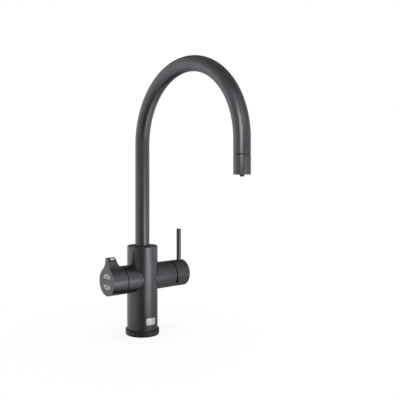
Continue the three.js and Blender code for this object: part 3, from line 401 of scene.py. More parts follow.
# Turned brass: warm yellow with fine rings from the lathe's tool.
brass = surface_finish(
    "turned_brass", "#b98f4a", "#a9803f", 0.3, metallic=1.0, cloud_mm=12, turned_mm=0.6)
brass_across = surface_finish(
    "turned_brass_across", "#b98f4a", "#a9803f", 0.3, metallic=1.0, cloud_mm=12, turned_mm=0.6,
    turned_axis="X")
# Machined stainless steel: a cool grey with a fine tool pattern.
steel = surface_finish(
    "machined_stainless_steel", "#a9abae", "#b6b8ba", 0.28, metallic=1.0, cloud_mm=8, turned_mm=0.4)
# Moulded nylon: a creamy white that scatters light softly.
nylon = surface_finish("moulded_white_nylon", "#e2dfd6", "#e9e7df", 0.48, cloud_mm=10)
# Lapped alumina: a dense white ceramic with a glassy face.
alumina = surface_finish(
    "lapped_white_alumina", "#eeebe4", "#f4f2ec", 0.15, cloud_mm=5, grain_depth_mm=0.001)
# Drawn copper: orange-pink, darkened here and there by handling.
copper = surface_finish(
    "drawn_copper_tube", "#b9744a", "#8f5534", 0.32, metallic=1.0, cloud_mm=9, turned_mm=1.2)
# Fibreglass circuit board under green solder resist.
board = surface_finish("green_solder_resist", "#1c5a38", "#236b45", 0.35, cloud_mm=3, grain_mm=0.5)
# Printed ink on the keys: two greys, flat and dry.
pale_ink = surface_finish("pale_grey_key_ink", "#6c6c6e", "#747476", 0.6, cloud_mm=3)
dark_ink = surface_finish("dark_grey_key_ink", "#3c3c3e", "#454547", 0.6, cloud_mm=3)
print("finishes:", len(bpy.data.materials))

# %% [markdown]
# ## Working in millimetres
#
# The tap's drawings are in millimetres, so every piece is shaped in millimetres in a bmesh and
# made metres at the end. Outlines are drawn from arcs and from corners with their roundings. An
# outline becomes a piece in one of three ways: spun on a lathe, coiled like a spring, or pushed
# out of its plane. A turned piece can be laid along the handles' axis, 88 mm above the worktop,
# and the last helper hands the finished mesh to its body.

# %% Drawing and turning
HANDLE_HEIGHT = 88
FIT = 0.3                # clearance between separate pieces


def verts_of(made):
    """The vertices in what a mesh operator says that it made."""
    return [item for item in made if isinstance(item, bmesh.types.BMVert)]


def edges_of(made):
    """The edges in what a mesh operator says that it made."""
    return [item for item in made if isinstance(item, bmesh.types.BMEdge)]


def arc(centre, radius, start, stop, steps):
    """Points along an arc between two angles in degrees, both ends included."""
    angles = [math.radians(start + (stop - start) * i / steps) for i in range(steps + 1)]
    return [(centre[0] + radius * math.cos(a), centre[1] + radius * math.sin(a)) for a in angles]


def rounded(corners, steps=4):
    """A closed outline from (x, y) or (x, y, rounding) corners, the rounded ones drawn as arcs."""
    outline = []
    for i, corner in enumerate(corners):
        here = Vector(corner[:2])
        if len(corner) < 3:
            outline.append(tuple(here))
            continue
        before = (Vector(corners[i - 1][:2]) - here).normalized()
        after = (Vector(corners[(i + 1) % len(corners)][:2]) - here).normalized()
        half = before.angle(after) / 2
        reach = corner[2] / math.tan(half)
        centre = here + (before + after).normalized() * (corner[2] / math.sin(half))
        first = here + before * reach - centre
        last = here + after * reach - centre
        turn = first.angle_signed(last)
        for k in range(steps + 1):
            spoke = Matrix.Rotation(-turn * k / steps, 2) @ first
            outline.append(tuple(centre + spoke))
    return outline


def drawn(points, plane="XZ"):
    """A bmesh with a closed outline of edges in the XZ, XY or YZ plane."""
    bm = bmesh.new()
    to_space = {
        "XZ": lambda a, b: (a, 0, b),
        "XY": lambda a, b: (a, b, 0),
        "YZ": lambda a, b: (0, a, b),
    }[plane]
    verts = [bm.verts.new(to_space(a, b)) for a, b in points]
    for first, second in zip(verts, verts[1:] + verts[:1]):
        bm.edges.new((first, second))
    return bm


def filled(points, plane):
    """A closed outline with one flat face inside it."""
    bm = drawn(points, plane)
    bmesh.ops.contextual_create(bm, geom=bm.edges[:])
    return bm


def cleaned(bm, distance=1e-4):
    """Closes seams and poles and turns every face outwards."""
    bmesh.ops.remove_doubles(bm, verts=bm.verts[:], dist=distance)
    bmesh.ops.dissolve_degenerate(bm, edges=bm.edges[:], dist=distance)
    bmesh.ops.recalc_face_normals(bm, faces=bm.faces[:])
    return bm


def turned(profile, steps=128):
    """Spins a closed outline of (radius, height) points round the Z axis."""
    bm = drawn(profile)
    on_axis = [e for e in bm.edges if all(abs(v.co.x) < 1e-6 for v in e.verts)]
    bmesh.ops.delete(bm, geom=on_axis, context="EDGES")
    bmesh.ops.spin(
        bm, geom=bm.verts[:] + bm.edges[:], axis=(0, 0, 1), angle=math.tau, steps=steps,
        use_merge=True)
    return cleaned(bm)


def coiled(outline, pitch, turns, steps_a_turn):
    """Sweeps a closed outline of (radius, height) points round and up, closed at both ends."""
    bm = filled(outline, "XZ")
    swept = bmesh.ops.spin(
        bm, geom=bm.edges[:] + bm.verts[:], axis=(0, 0, 1), dvec=(0, 0, pitch / steps_a_turn),
        angle=math.tau * turns, steps=steps_a_turn * turns)
    bmesh.ops.contextual_create(bm, geom=edges_of(swept["geom_last"]))
    return cleaned(bm)


def pushed(points, depth, plane="XY"):
    """Fills a closed outline and pushes it out by a depth along the plane's own normal."""
    bm = filled(points, plane)
    grown = bmesh.ops.extrude_face_region(bm, geom=bm.faces[:])
    way = {"XY": (0, 0, depth), "YZ": (depth, 0, 0), "XZ": (0, depth, 0)}[plane]
    bmesh.ops.translate(bm, vec=way, verts=verts_of(grown["geom"]))
    return cleaned(bm)


ALONG_X = Matrix(((0, 0, 1, 0), (1, 0, 0, 0), (0, 1, 0, HANDLE_HEIGHT), (0, 0, 0, 1)))


def laid_along_x(bm):
    """Lays a piece turned about Z along the handles' axis, its top towards +X."""
    bmesh.ops.transform(bm, matrix=ALONG_X, verts=bm.verts[:])
    return bm


def moved(bm, x=0, y=0, z=0):
    """Shifts a whole bmesh, in millimetres."""
    bmesh.ops.translate(bm, vec=(x, y, z), verts=bm.verts[:])
    return bm


def peg(radius, bottom, top, x=0.0, steps=32):
    """A round rod about a vertical axis, as a drill or a pin."""
    return moved(turned([(0, bottom), (radius, bottom), (radius, top), (0, top)], steps), x=x)


# %% Cutting, softening and handing over
def combined(bm, tool, how="DIFFERENCE"):
    """Cuts, joins or crosses one bmesh with another, and returns the result as a bmesh."""
    meshes = []
    for part in (bm, tool):
        mesh = bpy.data.meshes.new("blank")
        part.to_mesh(mesh)
        part.free()
        meshes.append(mesh)
    blank, cutter = [bpy.data.objects.new("blank", mesh) for mesh in meshes]
    for item in (blank, cutter):
        bpy.context.scene.collection.objects.link(item)
    step = blank.modifiers.new("cut", "BOOLEAN")
    step.operation = how
    step.solver = "EXACT"
    step.object = cutter
    depsgraph = bpy.context.evaluated_depsgraph_get()
    result = bpy.data.meshes.new_from_object(blank.evaluated_get(depsgraph))
    out = bmesh.new()
    out.from_mesh(result)
    for item in (blank, cutter):
        bpy.data.objects.remove(item)
    for mesh in meshes + [result]:
        bpy.data.meshes.remove(mesh)
    return cleaned(out)


def softened(bm, width, angle=35, steps=2, where=None):
    """Bevels the outward edges sharper than an angle, or those of them that where() picks."""
    edges = [
        e for e in bm.edges
        if e.is_manifold and e.is_convex and e.calc_face_angle() > math.radians(angle)
        and (where is None or where(e))
    ]
    bmesh.ops.bevel(
        bm, geom=edges, offset=width, offset_type="OFFSET", segments=steps, profile=0.5,
        affect="EDGES", clamp_overlap=True, material=-1)
    return bm


def both_ends(test):
    """A pick for softened(): the edges whose two ends both pass a test of their place."""
    return lambda edge: all(test(vert.co) for vert in edge.verts)


made_pieces = []


def hand_over(name, bm, finish, body, *nodes):
    """Makes a finished bmesh an object in metres that rides on a body and stands for CAD nodes."""
    bmesh.ops.scale(bm, vec=(0.001, 0.001, 0.001), verts=bm.verts[:])
    mesh = bpy.data.meshes.new(name)
    bm.to_mesh(mesh)
    bm.free()
    mesh.shade_smooth()
    mesh.set_sharp_from_angle(angle=math.radians(32))
    mesh.materials.append(finish)
    piece = bpy.data.objects.new(name, mesh)
    bpy.context.scene.collection.objects.link(piece)
    weights = piece.modifiers.new("even_shading", "WEIGHTED_NORMAL")
    weights.keep_sharp = True
    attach(piece, body)
    if nodes:
        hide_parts(*nodes)
    made_pieces.append(name)
    print(f"{name}: {len(mesh.polygons)} faces, on {body}")
    return piece


# %% [markdown]
# ## The foot: gasket, base ring and seal
#
# The tap stands on a thin rubber gasket. Above it a black ring carries the column, and a rounded
# rubber seal closes the gap between the two. All three are turned or moulded rings, so each is
# one outline spun round the column's axis.

# %% Foot rings
CLAMP_BORE = 16.3                # the hole in every ring that the shank passes through
RING_RADIUS, SEAL_BORE = 26.65, 24.3
GASKET_RADIUS, GASKET_TOP = 26.2, 1
RING_TOP, SEAL_TOP = 6, 8.5

gasket = turned(rounded([
    (CLAMP_BORE, 0), (GASKET_RADIUS, 0, 0.3), (GASKET_RADIUS, GASKET_TOP, 0.3),
    (CLAMP_BORE, GASKET_TOP)]))
hand_over("base_gasket_ring", gasket, rubber, "tap_body", "base_gasket")

base_ring = turned(rounded([
    (CLAMP_BORE, GASKET_TOP), (RING_RADIUS, GASKET_TOP, 0.5), (RING_RADIUS, RING_TOP, 0.15),
    (SEAL_BORE, RING_TOP), (SEAL_BORE, 2.5), (CLAMP_BORE, 2.5)]))
hand_over("base_ring_shell", base_ring, black_plating, "tap_body", "base_ring")

seal = turned(rounded([
    (SEAL_BORE, RING_TOP), (RING_RADIUS, RING_TOP, 0.2), (RING_RADIUS, SEAL_TOP, 0.95),
    (SEAL_BORE, SEAL_TOP, 0.25)], 6))
hand_over("column_seal", seal, rubber, "tap_body", "column_seal_ring")

# %% [markdown]
# ## The column
#
# The column is a brass tube, turned to a thin rim at the top where a plastic collar lies just
# below the edge. Two side holes open into the handles' bosses, and a shallow pocket at the front
# takes the badge plate. The tube is spun, and the openings are cut out of it with plain tools.

# %% Badge outline wrapped round the column
COLUMN_RADIUS = 24.0
BADGE_HALF_WIDTH = COLUMN_RADIUS * math.sin(math.radians(21))
BADGE_BOTTOM = 17.8
BADGE_TOP = 28.3
BADGE_CORNER = 2.0
BADGE_STRIPS = 16        # the outline is cut into this many upright strips, so that it can bend


def badge_block(inner, outer, margin, softness=0.0):
    """The badge's rounded outline, pushed from one radius of the column out to another."""
    half, corner = BADGE_HALF_WIDTH + margin, BADGE_CORNER + margin
    low, high = BADGE_BOTTOM - margin, BADGE_TOP + margin
    outline = rounded([
        (-half, low, corner), (half, low, corner), (half, high, corner), (-half, high, corner)], 6)
    bm = filled(outline, "XZ")
    for strip in range(1, BADGE_STRIPS):
        bmesh.ops.bisect_plane(
            bm, geom=bm.verts[:] + bm.edges[:] + bm.faces[:], dist=1e-4,
            plane_co=(half * (2 * strip / BADGE_STRIPS - 1), 0, 0), plane_no=(1, 0, 0))
    grown = bmesh.ops.extrude_face_region(bm, geom=bm.faces[:])
    bmesh.ops.translate(bm, vec=(0, outer - inner, 0), verts=verts_of(grown["geom"]))
    cleaned(bm)
    if softness:
        softened(bm, softness, where=both_ends(lambda co: co.y < 1e-4))
    for vert in bm.verts:
        # Depth becomes radius and width becomes the place round the column.
        radius = outer - vert.co.y
        across = vert.co.x * radius / COLUMN_RADIUS
        vert.co.x, vert.co.y = across, -math.sqrt(max(radius**2 - across**2, 0))
    bmesh.ops.recalc_face_normals(bm, faces=bm.faces[:])
    return bm


# %% Column tube, badge and collar
COLUMN_BORE, RIM_BORE = 21, 22.9
COLUMN_BOTTOM, COLLAR_LEDGE, COLUMN_TOP = 2.8, 134, 138
LEFT_BORE, RIGHT_BORE = 18.5, 18
HOLE_REACH = 26          # the side holes are drilled this far out, well past the column's skin

tube = turned(rounded([
    (COLUMN_BORE, COLUMN_BOTTOM), (COLUMN_RADIUS, COLUMN_BOTTOM, 0.3),
    (COLUMN_RADIUS, COLUMN_TOP, 0.55), (RIM_BORE, COLUMN_TOP, 0.2), (RIM_BORE, COLLAR_LEDGE),
    (COLUMN_BORE, COLLAR_LEDGE)]), 144)
tube = combined(tube, laid_along_x(peg(RIGHT_BORE, 0, HOLE_REACH, steps=72)))
tube = combined(tube, laid_along_x(peg(LEFT_BORE, -HOLE_REACH, 0, steps=72)))
tube = combined(tube, badge_block(inner=23.2, outer=25.0, margin=FIT))
hand_over("column_tube", tube, black_plating, "tap_body", "column_body")

badge = badge_block(inner=23.5, outer=24.35, margin=0, softness=0.18)
hand_over("badge_face", badge, chrome, "tap_body", "badge_plate")

collar = turned(rounded([
    (11.95, 134.3), (22.6, 134.3), (22.6, 137.3, 0.3), (11.95, 137.3, 0.5)]))
hand_over("collar", collar, black_acetal, "tap_body", "top_collar")

# %% [markdown]
# ## The bosses
#
# Each handle stands on a short tube that is soldered to the column. Its inner end is cut to a
# saddle so that it hugs the column: every point of that end slides along the tube until it meets
# the column's round side.

# %% Saddled boss tubes
SADDLE_RADIUS = COLUMN_RADIUS + FIT


def boss(inner, outer, reach, side):
    """A tube along X whose inner end follows the column; side is 1 to the right, -1 to the left."""
    tube = laid_along_x(turned(rounded([
        (inner, 0), (outer, 0), (outer, reach, 0.45), (inner, reach, 0.25)]), 128))
    for vert in tube.verts:
        if vert.co.x < 1e-3:
            vert.co.x = math.sqrt(SADDLE_RADIUS**2 - vert.co.y**2)
    if side < 0:
        half_turn = Matrix.Rotation(math.pi, 3, "Z")
        bmesh.ops.rotate(tube, matrix=half_turn, verts=tube.verts[:])
    return cleaned(tube)


left_boss = boss(LEFT_BORE, outer=21.5, reach=38.6, side=-1)
hand_over("left_boss_tube", left_boss, black_plating, "tap_body", "left_boss")
right_boss = boss(RIGHT_BORE, outer=21.1, reach=53.4, side=1)
hand_over("right_boss_tube", right_boss, black_plating, "tap_body", "right_boss")

# %% [markdown]
# ## The teardrop dial
#
# The dial is one casting: a round head and a fin that narrows upwards in two hollow sweeps to a
# rounded tip. The fin's back leans away from the column. Every slice across the dial has the same
# kind of outline, so the casting is a row of such slices joined up: full height near the face,
# lower and lower along the back, and a plain circle at the end.

# %% The teardrop's outline
HEAD = 21.5              # radius of the round head
TIP_HEIGHT = 36.48       # above the dial's axis
TIP_ROUNDING = 2.5
HALF_TIP = 3.9
SHOULDER = TIP_HEIGHT - TIP_ROUNDING
# Each flank is an arc that meets the head without a kink and ends upright at the shoulder.
FLANK = (HALF_TIP**2 + SHOULDER**2 - HEAD**2) / (2 * (HEAD - HALF_TIP))
FLANK_X = HALF_TIP + FLANK
MEET = math.atan2(SHOULDER, FLANK_X)
MEET_HEIGHT = HEAD * math.sin(MEET)


def half_width(up):
    """Half the teardrop's width at a height above the dial's axis."""
    if up > SHOULDER:
        return HALF_TIP - TIP_ROUNDING + math.sqrt(max(TIP_ROUNDING**2 - (up - SHOULDER) ** 2, 0))
    if up > MEET_HEIGHT:
        return FLANK_X - math.sqrt(FLANK**2 - (up - SHOULDER) ** 2)
    return math.sqrt(max(HEAD**2 - up**2, 0))


def dial_slice(top):
    """The dial's outline as (across, up) points, cut off at a height but never into the head."""
    top = max(top, MEET_HEIGHT)
    lean = math.degrees(MEET)
    head = arc((0, 0), HEAD, lean, lean - 360 + 2 * (90 - lean), 72)
    rise = top - MEET_HEIGHT
    heights = [MEET_HEIGHT + rise * math.sin(math.pi * k / 60) for k in range(1, 31)]
    left = [(-half_width(up), up) for up in heights]
    reach = half_width(top)
    crossing = min(math.sqrt(max(HEAD**2 - top**2, 0)), reach)
    roof = []
    spans = ((-reach, -crossing, 4), (-crossing, crossing, 12), (crossing, reach, 4))
    for start, stop, steps in spans:
        for k in range(1, steps + 1):
            across = start + (stop - start) * k / steps
            roof.append((across, max(top, math.sqrt(max(HEAD**2 - across**2, 0)))))
    right = [(-across, up) for across, up in reversed(left)]
    return head + left + roof + right[1:]


print("flank radius", round(FLANK, 2), "mm, head and flank meet at", round(MEET_HEIGHT, 2), "mm")

# %% Joining the slices along the fin's back
FACE_X, DIAL_BACK_X = -65.45, -39.8
FIN_TOP_X = -52.9
KNEE_X, KNEE_HEIGHT = -47.4, 24.58
FOOT_HEIGHT = 15.0


def fin_back_x(up):
    """Where the fin's back lies at a height: steep above the knee, flatter below."""
    if up > KNEE_HEIGHT:
        return FIN_TOP_X + (TIP_HEIGHT - up) * (KNEE_X - FIN_TOP_X) / (TIP_HEIGHT - KNEE_HEIGHT)
    return KNEE_X + (KNEE_HEIGHT - up) * (DIAL_BACK_X - KNEE_X) / (KNEE_HEIGHT - FOOT_HEIGHT)


def lofted(slices):
    """Joins outlines of equal length, each at its own x, into one closed skin."""
    first_x, first = slices[0]
    bm = moved(drawn(first, "YZ"), x=first_x)
    ring = bm.verts[:]
    edges = bm.edges[:]
    bmesh.ops.contextual_create(bm, geom=edges)
    for x, outline in slices[1:]:
        out = bmesh.ops.extrude_edge_only(bm, edges=edges)["geom"]
        edges = edges_of(out)
        fresh = set(verts_of(out))
        ring = [
            next(e.other_vert(v) for e in v.link_edges if e.other_vert(v) in fresh) for v in ring]
        for vert, (across, up) in zip(ring, outline):
            vert.co = (x, across, up)
    bmesh.ops.contextual_create(bm, geom=edges)
    return cleaned(bm, 2e-3)


def dial_blank():
    """The uncut dial: full height to the fin's back, then slices that follow it down."""
    tops = [TIP_HEIGHT - TIP_ROUNDING * (1 - math.cos(math.pi * k / 12)) for k in range(7)]
    tops += [SHOULDER + (KNEE_HEIGHT - SHOULDER) * k / 6 for k in range(1, 7)]
    tops += [KNEE_HEIGHT + (HEAD - KNEE_HEIGHT) * k / 3 for k in range(1, 4)]
    tops += [math.sqrt(HEAD**2 - (half_width(MEET_HEIGHT) * k / 10) ** 2) for k in range(1, 11)]
    slices = [(FACE_X, dial_slice(TIP_HEIGHT))]
    slices += [(fin_back_x(top), dial_slice(top)) for top in tops]
    return lofted(slices + [(DIAL_BACK_X, dial_slice(FOOT_HEIGHT))])


def on_fin_back(edge):
    """Picks the edges above the round head that touch the fin's back."""
    return (min(v.co.z for v in edge.verts) > 19
            and max(v.co.x for v in edge.verts) > FIN_TOP_X - 1e-3)


casting = dial_blank()
softened(casting, 0.22, angle=50, steps=3, where=both_ends(lambda co: co.x < FACE_X + 1e-3))
softened(casting, 0.25, angle=50, steps=2, where=both_ends(lambda co: co.x > DIAL_BACK_X - 1e-3))
softened(casting, 0.2, angle=38, steps=2, where=on_fin_back)
print("dial casting:", len(casting.faces), "faces")

# %% [markdown]
# ### Cuts in the casting
#
# The bore for the works, the two key windows, the slot in the tip and the spring's hole are cut
# into the casting as a mill and a drill would cut them.

# %% Key windows, bore and tip slot
PAD_RADIUS = 12.4
PAD_CHORD = 4.5
PAD_CORNER = 2.2
BORE_RADIUS = 18
BORE_FLOOR_X = -62.9


def half_moon(side, margin):
    """A key's outline: a chord with two rounded corners and an arc, grown by a margin."""
    radius, chord, corner = PAD_RADIUS + margin, PAD_CHORD - margin, PAD_CORNER + margin
    corner_up = chord + corner
    corner_across = math.sqrt((radius - corner) ** 2 - corner_up**2)
    lean = math.degrees(math.atan2(corner_up, corner_across))
    points = arc((corner_across, corner_up), corner, -90, lean, 7)
    points += arc((0, 0), radius, lean, 180 - lean, 20)[1:]
    points += arc((-corner_across, corner_up), corner, 180 - lean, 270, 7)[1:]
    return [(across, side * up) for across, up in points]


def box(low, high):
    """A block between two corners, as a cutting tool."""
    bm = bmesh.new()
    bmesh.ops.create_cube(bm, size=1)
    bmesh.ops.scale(bm, vec=[b - a for a, b in zip(low, high)], verts=bm.verts[:])
    return moved(bm, *[(a + b) / 2 for a, b in zip(low, high)])


SLOT_FRONT_X, SLOT_FLOOR = -64.1, 30.36
PAST_THE_FIN = (-44, 12, 40)     # a corner beyond the fin, where the slot's cutting blocks end
SPRING_X, SPRING_HOLE, SPRING_FLOOR = -57.5, 2.15, 21.86

bore = moved(laid_along_x(peg(BORE_RADIUS, BORE_FLOOR_X, -30, steps=96)), z=-HANDLE_HEIGHT)
casting = combined(casting, bore)
for side in (1, -1):
    casting = combined(casting, moved(pushed(half_moon(side, FIT), 6, "YZ"), x=-68))
casting = combined(casting, box((SLOT_FRONT_X, -12, SLOT_FLOOR), PAST_THE_FIN))
casting = combined(casting, peg(SPRING_HOLE, SPRING_FLOOR, SLOT_FLOOR + 1, SPRING_X, 24))
softened(casting, 0.15, angle=60, where=both_ends(
    lambda co: abs(co.x - FACE_X) < 1e-3 and math.hypot(co.y, co.z) < PAD_RADIUS + 1.1))
moved(casting, z=HANDLE_HEIGHT)
hand_over("dial_casting", casting, black_plating, "dial", "dial_knob")

# %% [markdown]
# ### Guide and safety insert
#
# A black acetal guide fills the slot in the tip and shows as two dark ends. Between them sits the
# plated insert, which has to be slid down against its spring before boiling water can run. The
# guide is the same casting outline, kept only inside the slot.

# %% Guide in the tip
INSERT_FRONT_X, INSERT_BACK_X = -61.0, -54.0
INSERT_BOTTOM, INSERT_TOP = 33.36, 36.36
GUIDE_FLOOR = 31.86

in_the_slot = box((SLOT_FRONT_X + FIT, -12, SLOT_FLOOR + FIT), PAST_THE_FIN)
guide = combined(dial_blank(), in_the_slot, "INTERSECT")
insert_room = box((INSERT_FRONT_X - FIT, -12, GUIDE_FLOOR), (INSERT_BACK_X + FIT, 12, 40))
guide = combined(guide, insert_room)
guide = combined(guide, peg(SPRING_HOLE, SLOT_FLOOR, GUIDE_FLOOR + 1, SPRING_X, 24))
softened(guide, 0.15, angle=50, where=both_ends(lambda co: co.z > GUIDE_FLOOR + 0.2))
hand_over("tip_guide", moved(guide, z=HANDLE_HEIGHT), black_acetal, "dial", "safety_bezel")

# %% Safety insert
STEM_RADIUS, STEM_BOTTOM, STEM_TOP = 1.0, 27.36, 34.2

rise = INSERT_TOP - INSERT_BOTTOM
heights = [INSERT_BOTTOM + rise * math.sin(math.pi * k / 24) for k in range(13)]
sides = [(half_width(up), up) for up in heights]
outline = sides + [(-across, up) for across, up in reversed(sides)]
insert = moved(pushed(outline, INSERT_BACK_X - INSERT_FRONT_X, "YZ"), x=INSERT_FRONT_X)
softened(insert, 0.25, angle=50, steps=3,
         where=lambda edge: max(v.co.z for v in edge.verts) > INSERT_BOTTOM + 0.1)
insert = combined(insert, peg(STEM_RADIUS, STEM_BOTTOM, STEM_TOP, SPRING_X, 24), "UNION")
hand_over("safety_insert", moved(insert, z=HANDLE_HEIGHT), nickel, "safety_button", "safety_button")

# %% [markdown]
# ### The spring that lifts the insert
#
# A fine steel spring stands in its hole below the insert. Its wire is a small circle, swept round
# and up. It stays in the dial.

# %% Coil spring
COIL_RADIUS, WIRE_RADIUS, COIL_TURNS = 1.6, 0.25, 6

coil_bottom, coil_top = SPRING_FLOOR + FIT, INSERT_BOTTOM - FIT
rise = coil_top - coil_bottom - 2 * WIRE_RADIUS
wire = arc((COIL_RADIUS, WIRE_RADIUS), WIRE_RADIUS, 0, 324, 9)
spring = coiled(wire, rise / COIL_TURNS, COIL_TURNS, steps_a_turn=24)
moved(spring, x=SPRING_X, z=HANDLE_HEIGHT + coil_bottom)
spring = hand_over("insert_spring", spring, steel, "dial", "safety_spring")
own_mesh(spring)

# %% [markdown]
# ## The keys
#
# Two soft keys sit flush in the dial's face, each with a hidden flange that keeps it in. The marks
# on them are plain steam and water waves, printed in grey.

# %% Keys with printed waves
KEY_FACE_X = FACE_X + 0.15
KEY_FLANGE_X = BORE_FLOOR_X + FIT
FLANGE_MARGIN, FLANGE_THICKNESS = 0.9, 1
WAVE_STEPS = 24


def key(side):
    """A key: a flange behind the face, and a crowned half-moon that reaches through the window."""
    flange = pushed(half_moon(side, FLANGE_MARGIN), -FLANGE_THICKNESS, "YZ")
    moved(flange, x=KEY_FLANGE_X + FLANGE_THICKNESS)
    stem = moved(pushed(half_moon(side, 0), KEY_FLANGE_X + 0.5 - KEY_FACE_X, "YZ"), x=KEY_FACE_X)
    softened(stem, 0.3, angle=50, steps=3, where=both_ends(lambda co: co.x < KEY_FACE_X + 1e-2))
    return moved(combined(stem, flange, "UNION"), z=HANDLE_HEIGHT)


def wave(up, width, swing, thickness):
    """A printed wave on the dial's face, a hair proud of the key."""
    bm = bmesh.new()
    verts = [
        bm.verts.new((KEY_FACE_X + 0.02, width * (k / WAVE_STEPS - 0.5),
                      up + swing * math.sin(2 * math.tau * k / WAVE_STEPS)))
        for k in range(WAVE_STEPS + 1)
    ]
    edges = [bm.edges.new(pair) for pair in zip(verts, verts[1:])]
    grown = bmesh.ops.extrude_edge_only(bm, edges=edges)["geom"]
    bmesh.ops.translate(bm, vec=(0, 0, thickness), verts=verts_of(grown))
    front = bmesh.ops.extrude_face_region(bm, geom=bm.faces[:])
    bmesh.ops.translate(bm, vec=(-0.05, 0, 0), verts=verts_of(front["geom"]))
    return moved(cleaned(bm), z=HANDLE_HEIGHT)


hand_over("upper_key", key(1), grey_keys, "upper_pad", "upper_pad")
hand_over("lower_key", key(-1), grey_keys, "lower_pad", "lower_pad")
for row, up in enumerate((6.6, 8.2)):
    mark = wave(up, width=7.5, swing=0.35, thickness=0.7)
    hand_over(f"upper_key_wave_{row}", mark, pale_ink, "upper_pad")
for row, up in enumerate((-7.4, -9.0)):
    mark = wave(up, width=9.0 - 2.0 * row, swing=0.35, thickness=0.9)
    hand_over(f"lower_key_wave_{row}", mark, dark_ink, "lower_pad")

# %% [markdown]
# ## The mixer's cap, lever and screw
#
# The cap is a cup over the cartridge's stem. Below the middle its rim slants back, so that it can
# tilt when the lever is pulled. The lever is a plain rod with a small chamfer, and a grub screw in
# the underside locks the cap to the stem.

# %% Mixer cap
CAP_RADIUS = 21.1
CAP_BORE = 17.5
CAP_RIM_X, CAP_FLOOR_X, CAP_END_X = 55.0, 64, 80.5
CAP_TILT = 16                    # degrees
ROD_RADIUS, ROD_X = 3.7, 73.0
SCREW_RADIUS, SCREW_X = 2, 68.0

cap = laid_along_x(turned(rounded([
    (0, CAP_FLOOR_X), (CAP_BORE, CAP_FLOOR_X), (CAP_BORE, CAP_RIM_X), (CAP_RADIUS, CAP_RIM_X, 0.2),
    (CAP_RADIUS, CAP_END_X, 1.5), (0, CAP_END_X)], 6), 144))
reach = CAP_RADIUS + 1
slant_end_x = CAP_RIM_X + reach * math.tan(math.radians(CAP_TILT))
slant = [(CAP_RIM_X - 1, HANDLE_HEIGHT), (CAP_RIM_X - 1, HANDLE_HEIGHT - reach),
         (slant_end_x, HANDLE_HEIGHT - reach), (CAP_RIM_X, HANDLE_HEIGHT)]
cap = combined(cap, moved(pushed(slant, 2 * reach, "XZ"), y=-reach))
cap = combined(cap, peg(ROD_RADIUS + FIT, 94, 112, ROD_X, 48))
cap = combined(cap, peg(SCREW_RADIUS + FIT, 64, 88, SCREW_X))
stem_socket = box((63, -4.3, HANDLE_HEIGHT - 3.8), (71.8, 4.3, HANDLE_HEIGHT + 3.8))
cap = combined(cap, stem_socket)
hand_over("mixer_cup", cap, black_plating, "mixer_lever", "mixer_cap")

# %% Lever rod and grub screw
ROD_BOTTOM, ROD_TOP = 94.3, 160
SCREW_BOTTOM, SCREW_TOP = 68.5, 84.2

rod = turned(rounded([
    (0, ROD_BOTTOM), (ROD_RADIUS, ROD_BOTTOM), (ROD_RADIUS, ROD_TOP, 0.55), (0, ROD_TOP)], 5), 64)
hand_over("lever", moved(rod, x=ROD_X), black_plating, "mixer_lever", "lever_rod")

screw = turned(rounded([
    (0, SCREW_BOTTOM), (SCREW_RADIUS, SCREW_BOTTOM, 0.3), (SCREW_RADIUS, SCREW_TOP),
    (0, SCREW_TOP)]), 32)
hex_socket = pushed(arc((0, 0), 1.15, 0, 300, 5), 3, "XY")
screw = combined(screw, moved(hex_socket, z=SCREW_BOTTOM - 1))
hand_over("grub_screw", moved(screw, x=SCREW_X), steel, "mixer_lever", "cap_grub_screw")

# %% [markdown]
# ## The gooseneck and its nozzle
#
# The spout is one steel tube bent over a former: straight up, through a half circle, and a short
# way down. Its two round edges, outside and bore, are drawn upwards, spun through the bend and
# drawn down again, which keeps every quad in line with the tube. The nozzle screws into its end
# behind a narrow seam, and the boiling water leaves through a small jet in the middle.

# %% Gooseneck
SPOUT_RADIUS, SPOUT_BORE = 11.25, 10.0
BEND_RADIUS, BEND_HEIGHT = 110.95, 296.9
SPOUT_START, SPOUT_END = 110.9, 278.1
NOZZLE_Y = -2 * BEND_RADIUS


def drawn_on(bm, edges, rise):
    """Draws round edges up or down by a length, and returns what that made."""
    grown = bmesh.ops.extrude_edge_only(bm, edges=edges)["geom"]
    bmesh.ops.translate(bm, vec=(0, 0, rise), verts=verts_of(grown))
    return grown


neck = bmesh.new()
for radius in (SPOUT_RADIUS, SPOUT_BORE):
    bmesh.ops.create_circle(neck, segments=72, radius=radius)
moved(neck, z=SPOUT_START)
start = neck.edges[:]
bmesh.ops.bridge_loops(neck, edges=start)
grown = drawn_on(neck, start, BEND_HEIGHT - SPOUT_START)
bent = bmesh.ops.spin(
    neck, geom=edges_of(grown) + verts_of(grown), cent=(0, -BEND_RADIUS, BEND_HEIGHT),
    axis=(1, 0, 0), angle=math.pi, steps=96)
grown = drawn_on(neck, edges_of(bent["geom_last"]), SPOUT_END - BEND_HEIGHT)
bmesh.ops.bridge_loops(neck, edges=edges_of(grown))
cleaned(neck)
softened(neck, 0.35, angle=50, steps=3, where=both_ends(
    lambda co: abs(co.z - SPOUT_END) < 1e-3 and math.hypot(co.x, co.y - NOZZLE_Y) > 10.5))
hand_over("gooseneck", neck, black_plating, "spout", "spout_tube")

# %% Nozzle sleeve, seal, strainer and jet
sleeve = turned(rounded([
    (9.6, 251.5, 0.3), (SPOUT_RADIUS, 251.5, 1.0), (SPOUT_RADIUS, 276.9, 0.4), (9.3, 276.9),
    (9.3, 285.9), (8.2, 285.9), (8.2, 262.3), (9.6, 262.3)], 5), 96)
hand_over("nozzle", moved(sleeve, y=NOZZLE_Y), black_plating, "spout", "nozzle_sleeve")

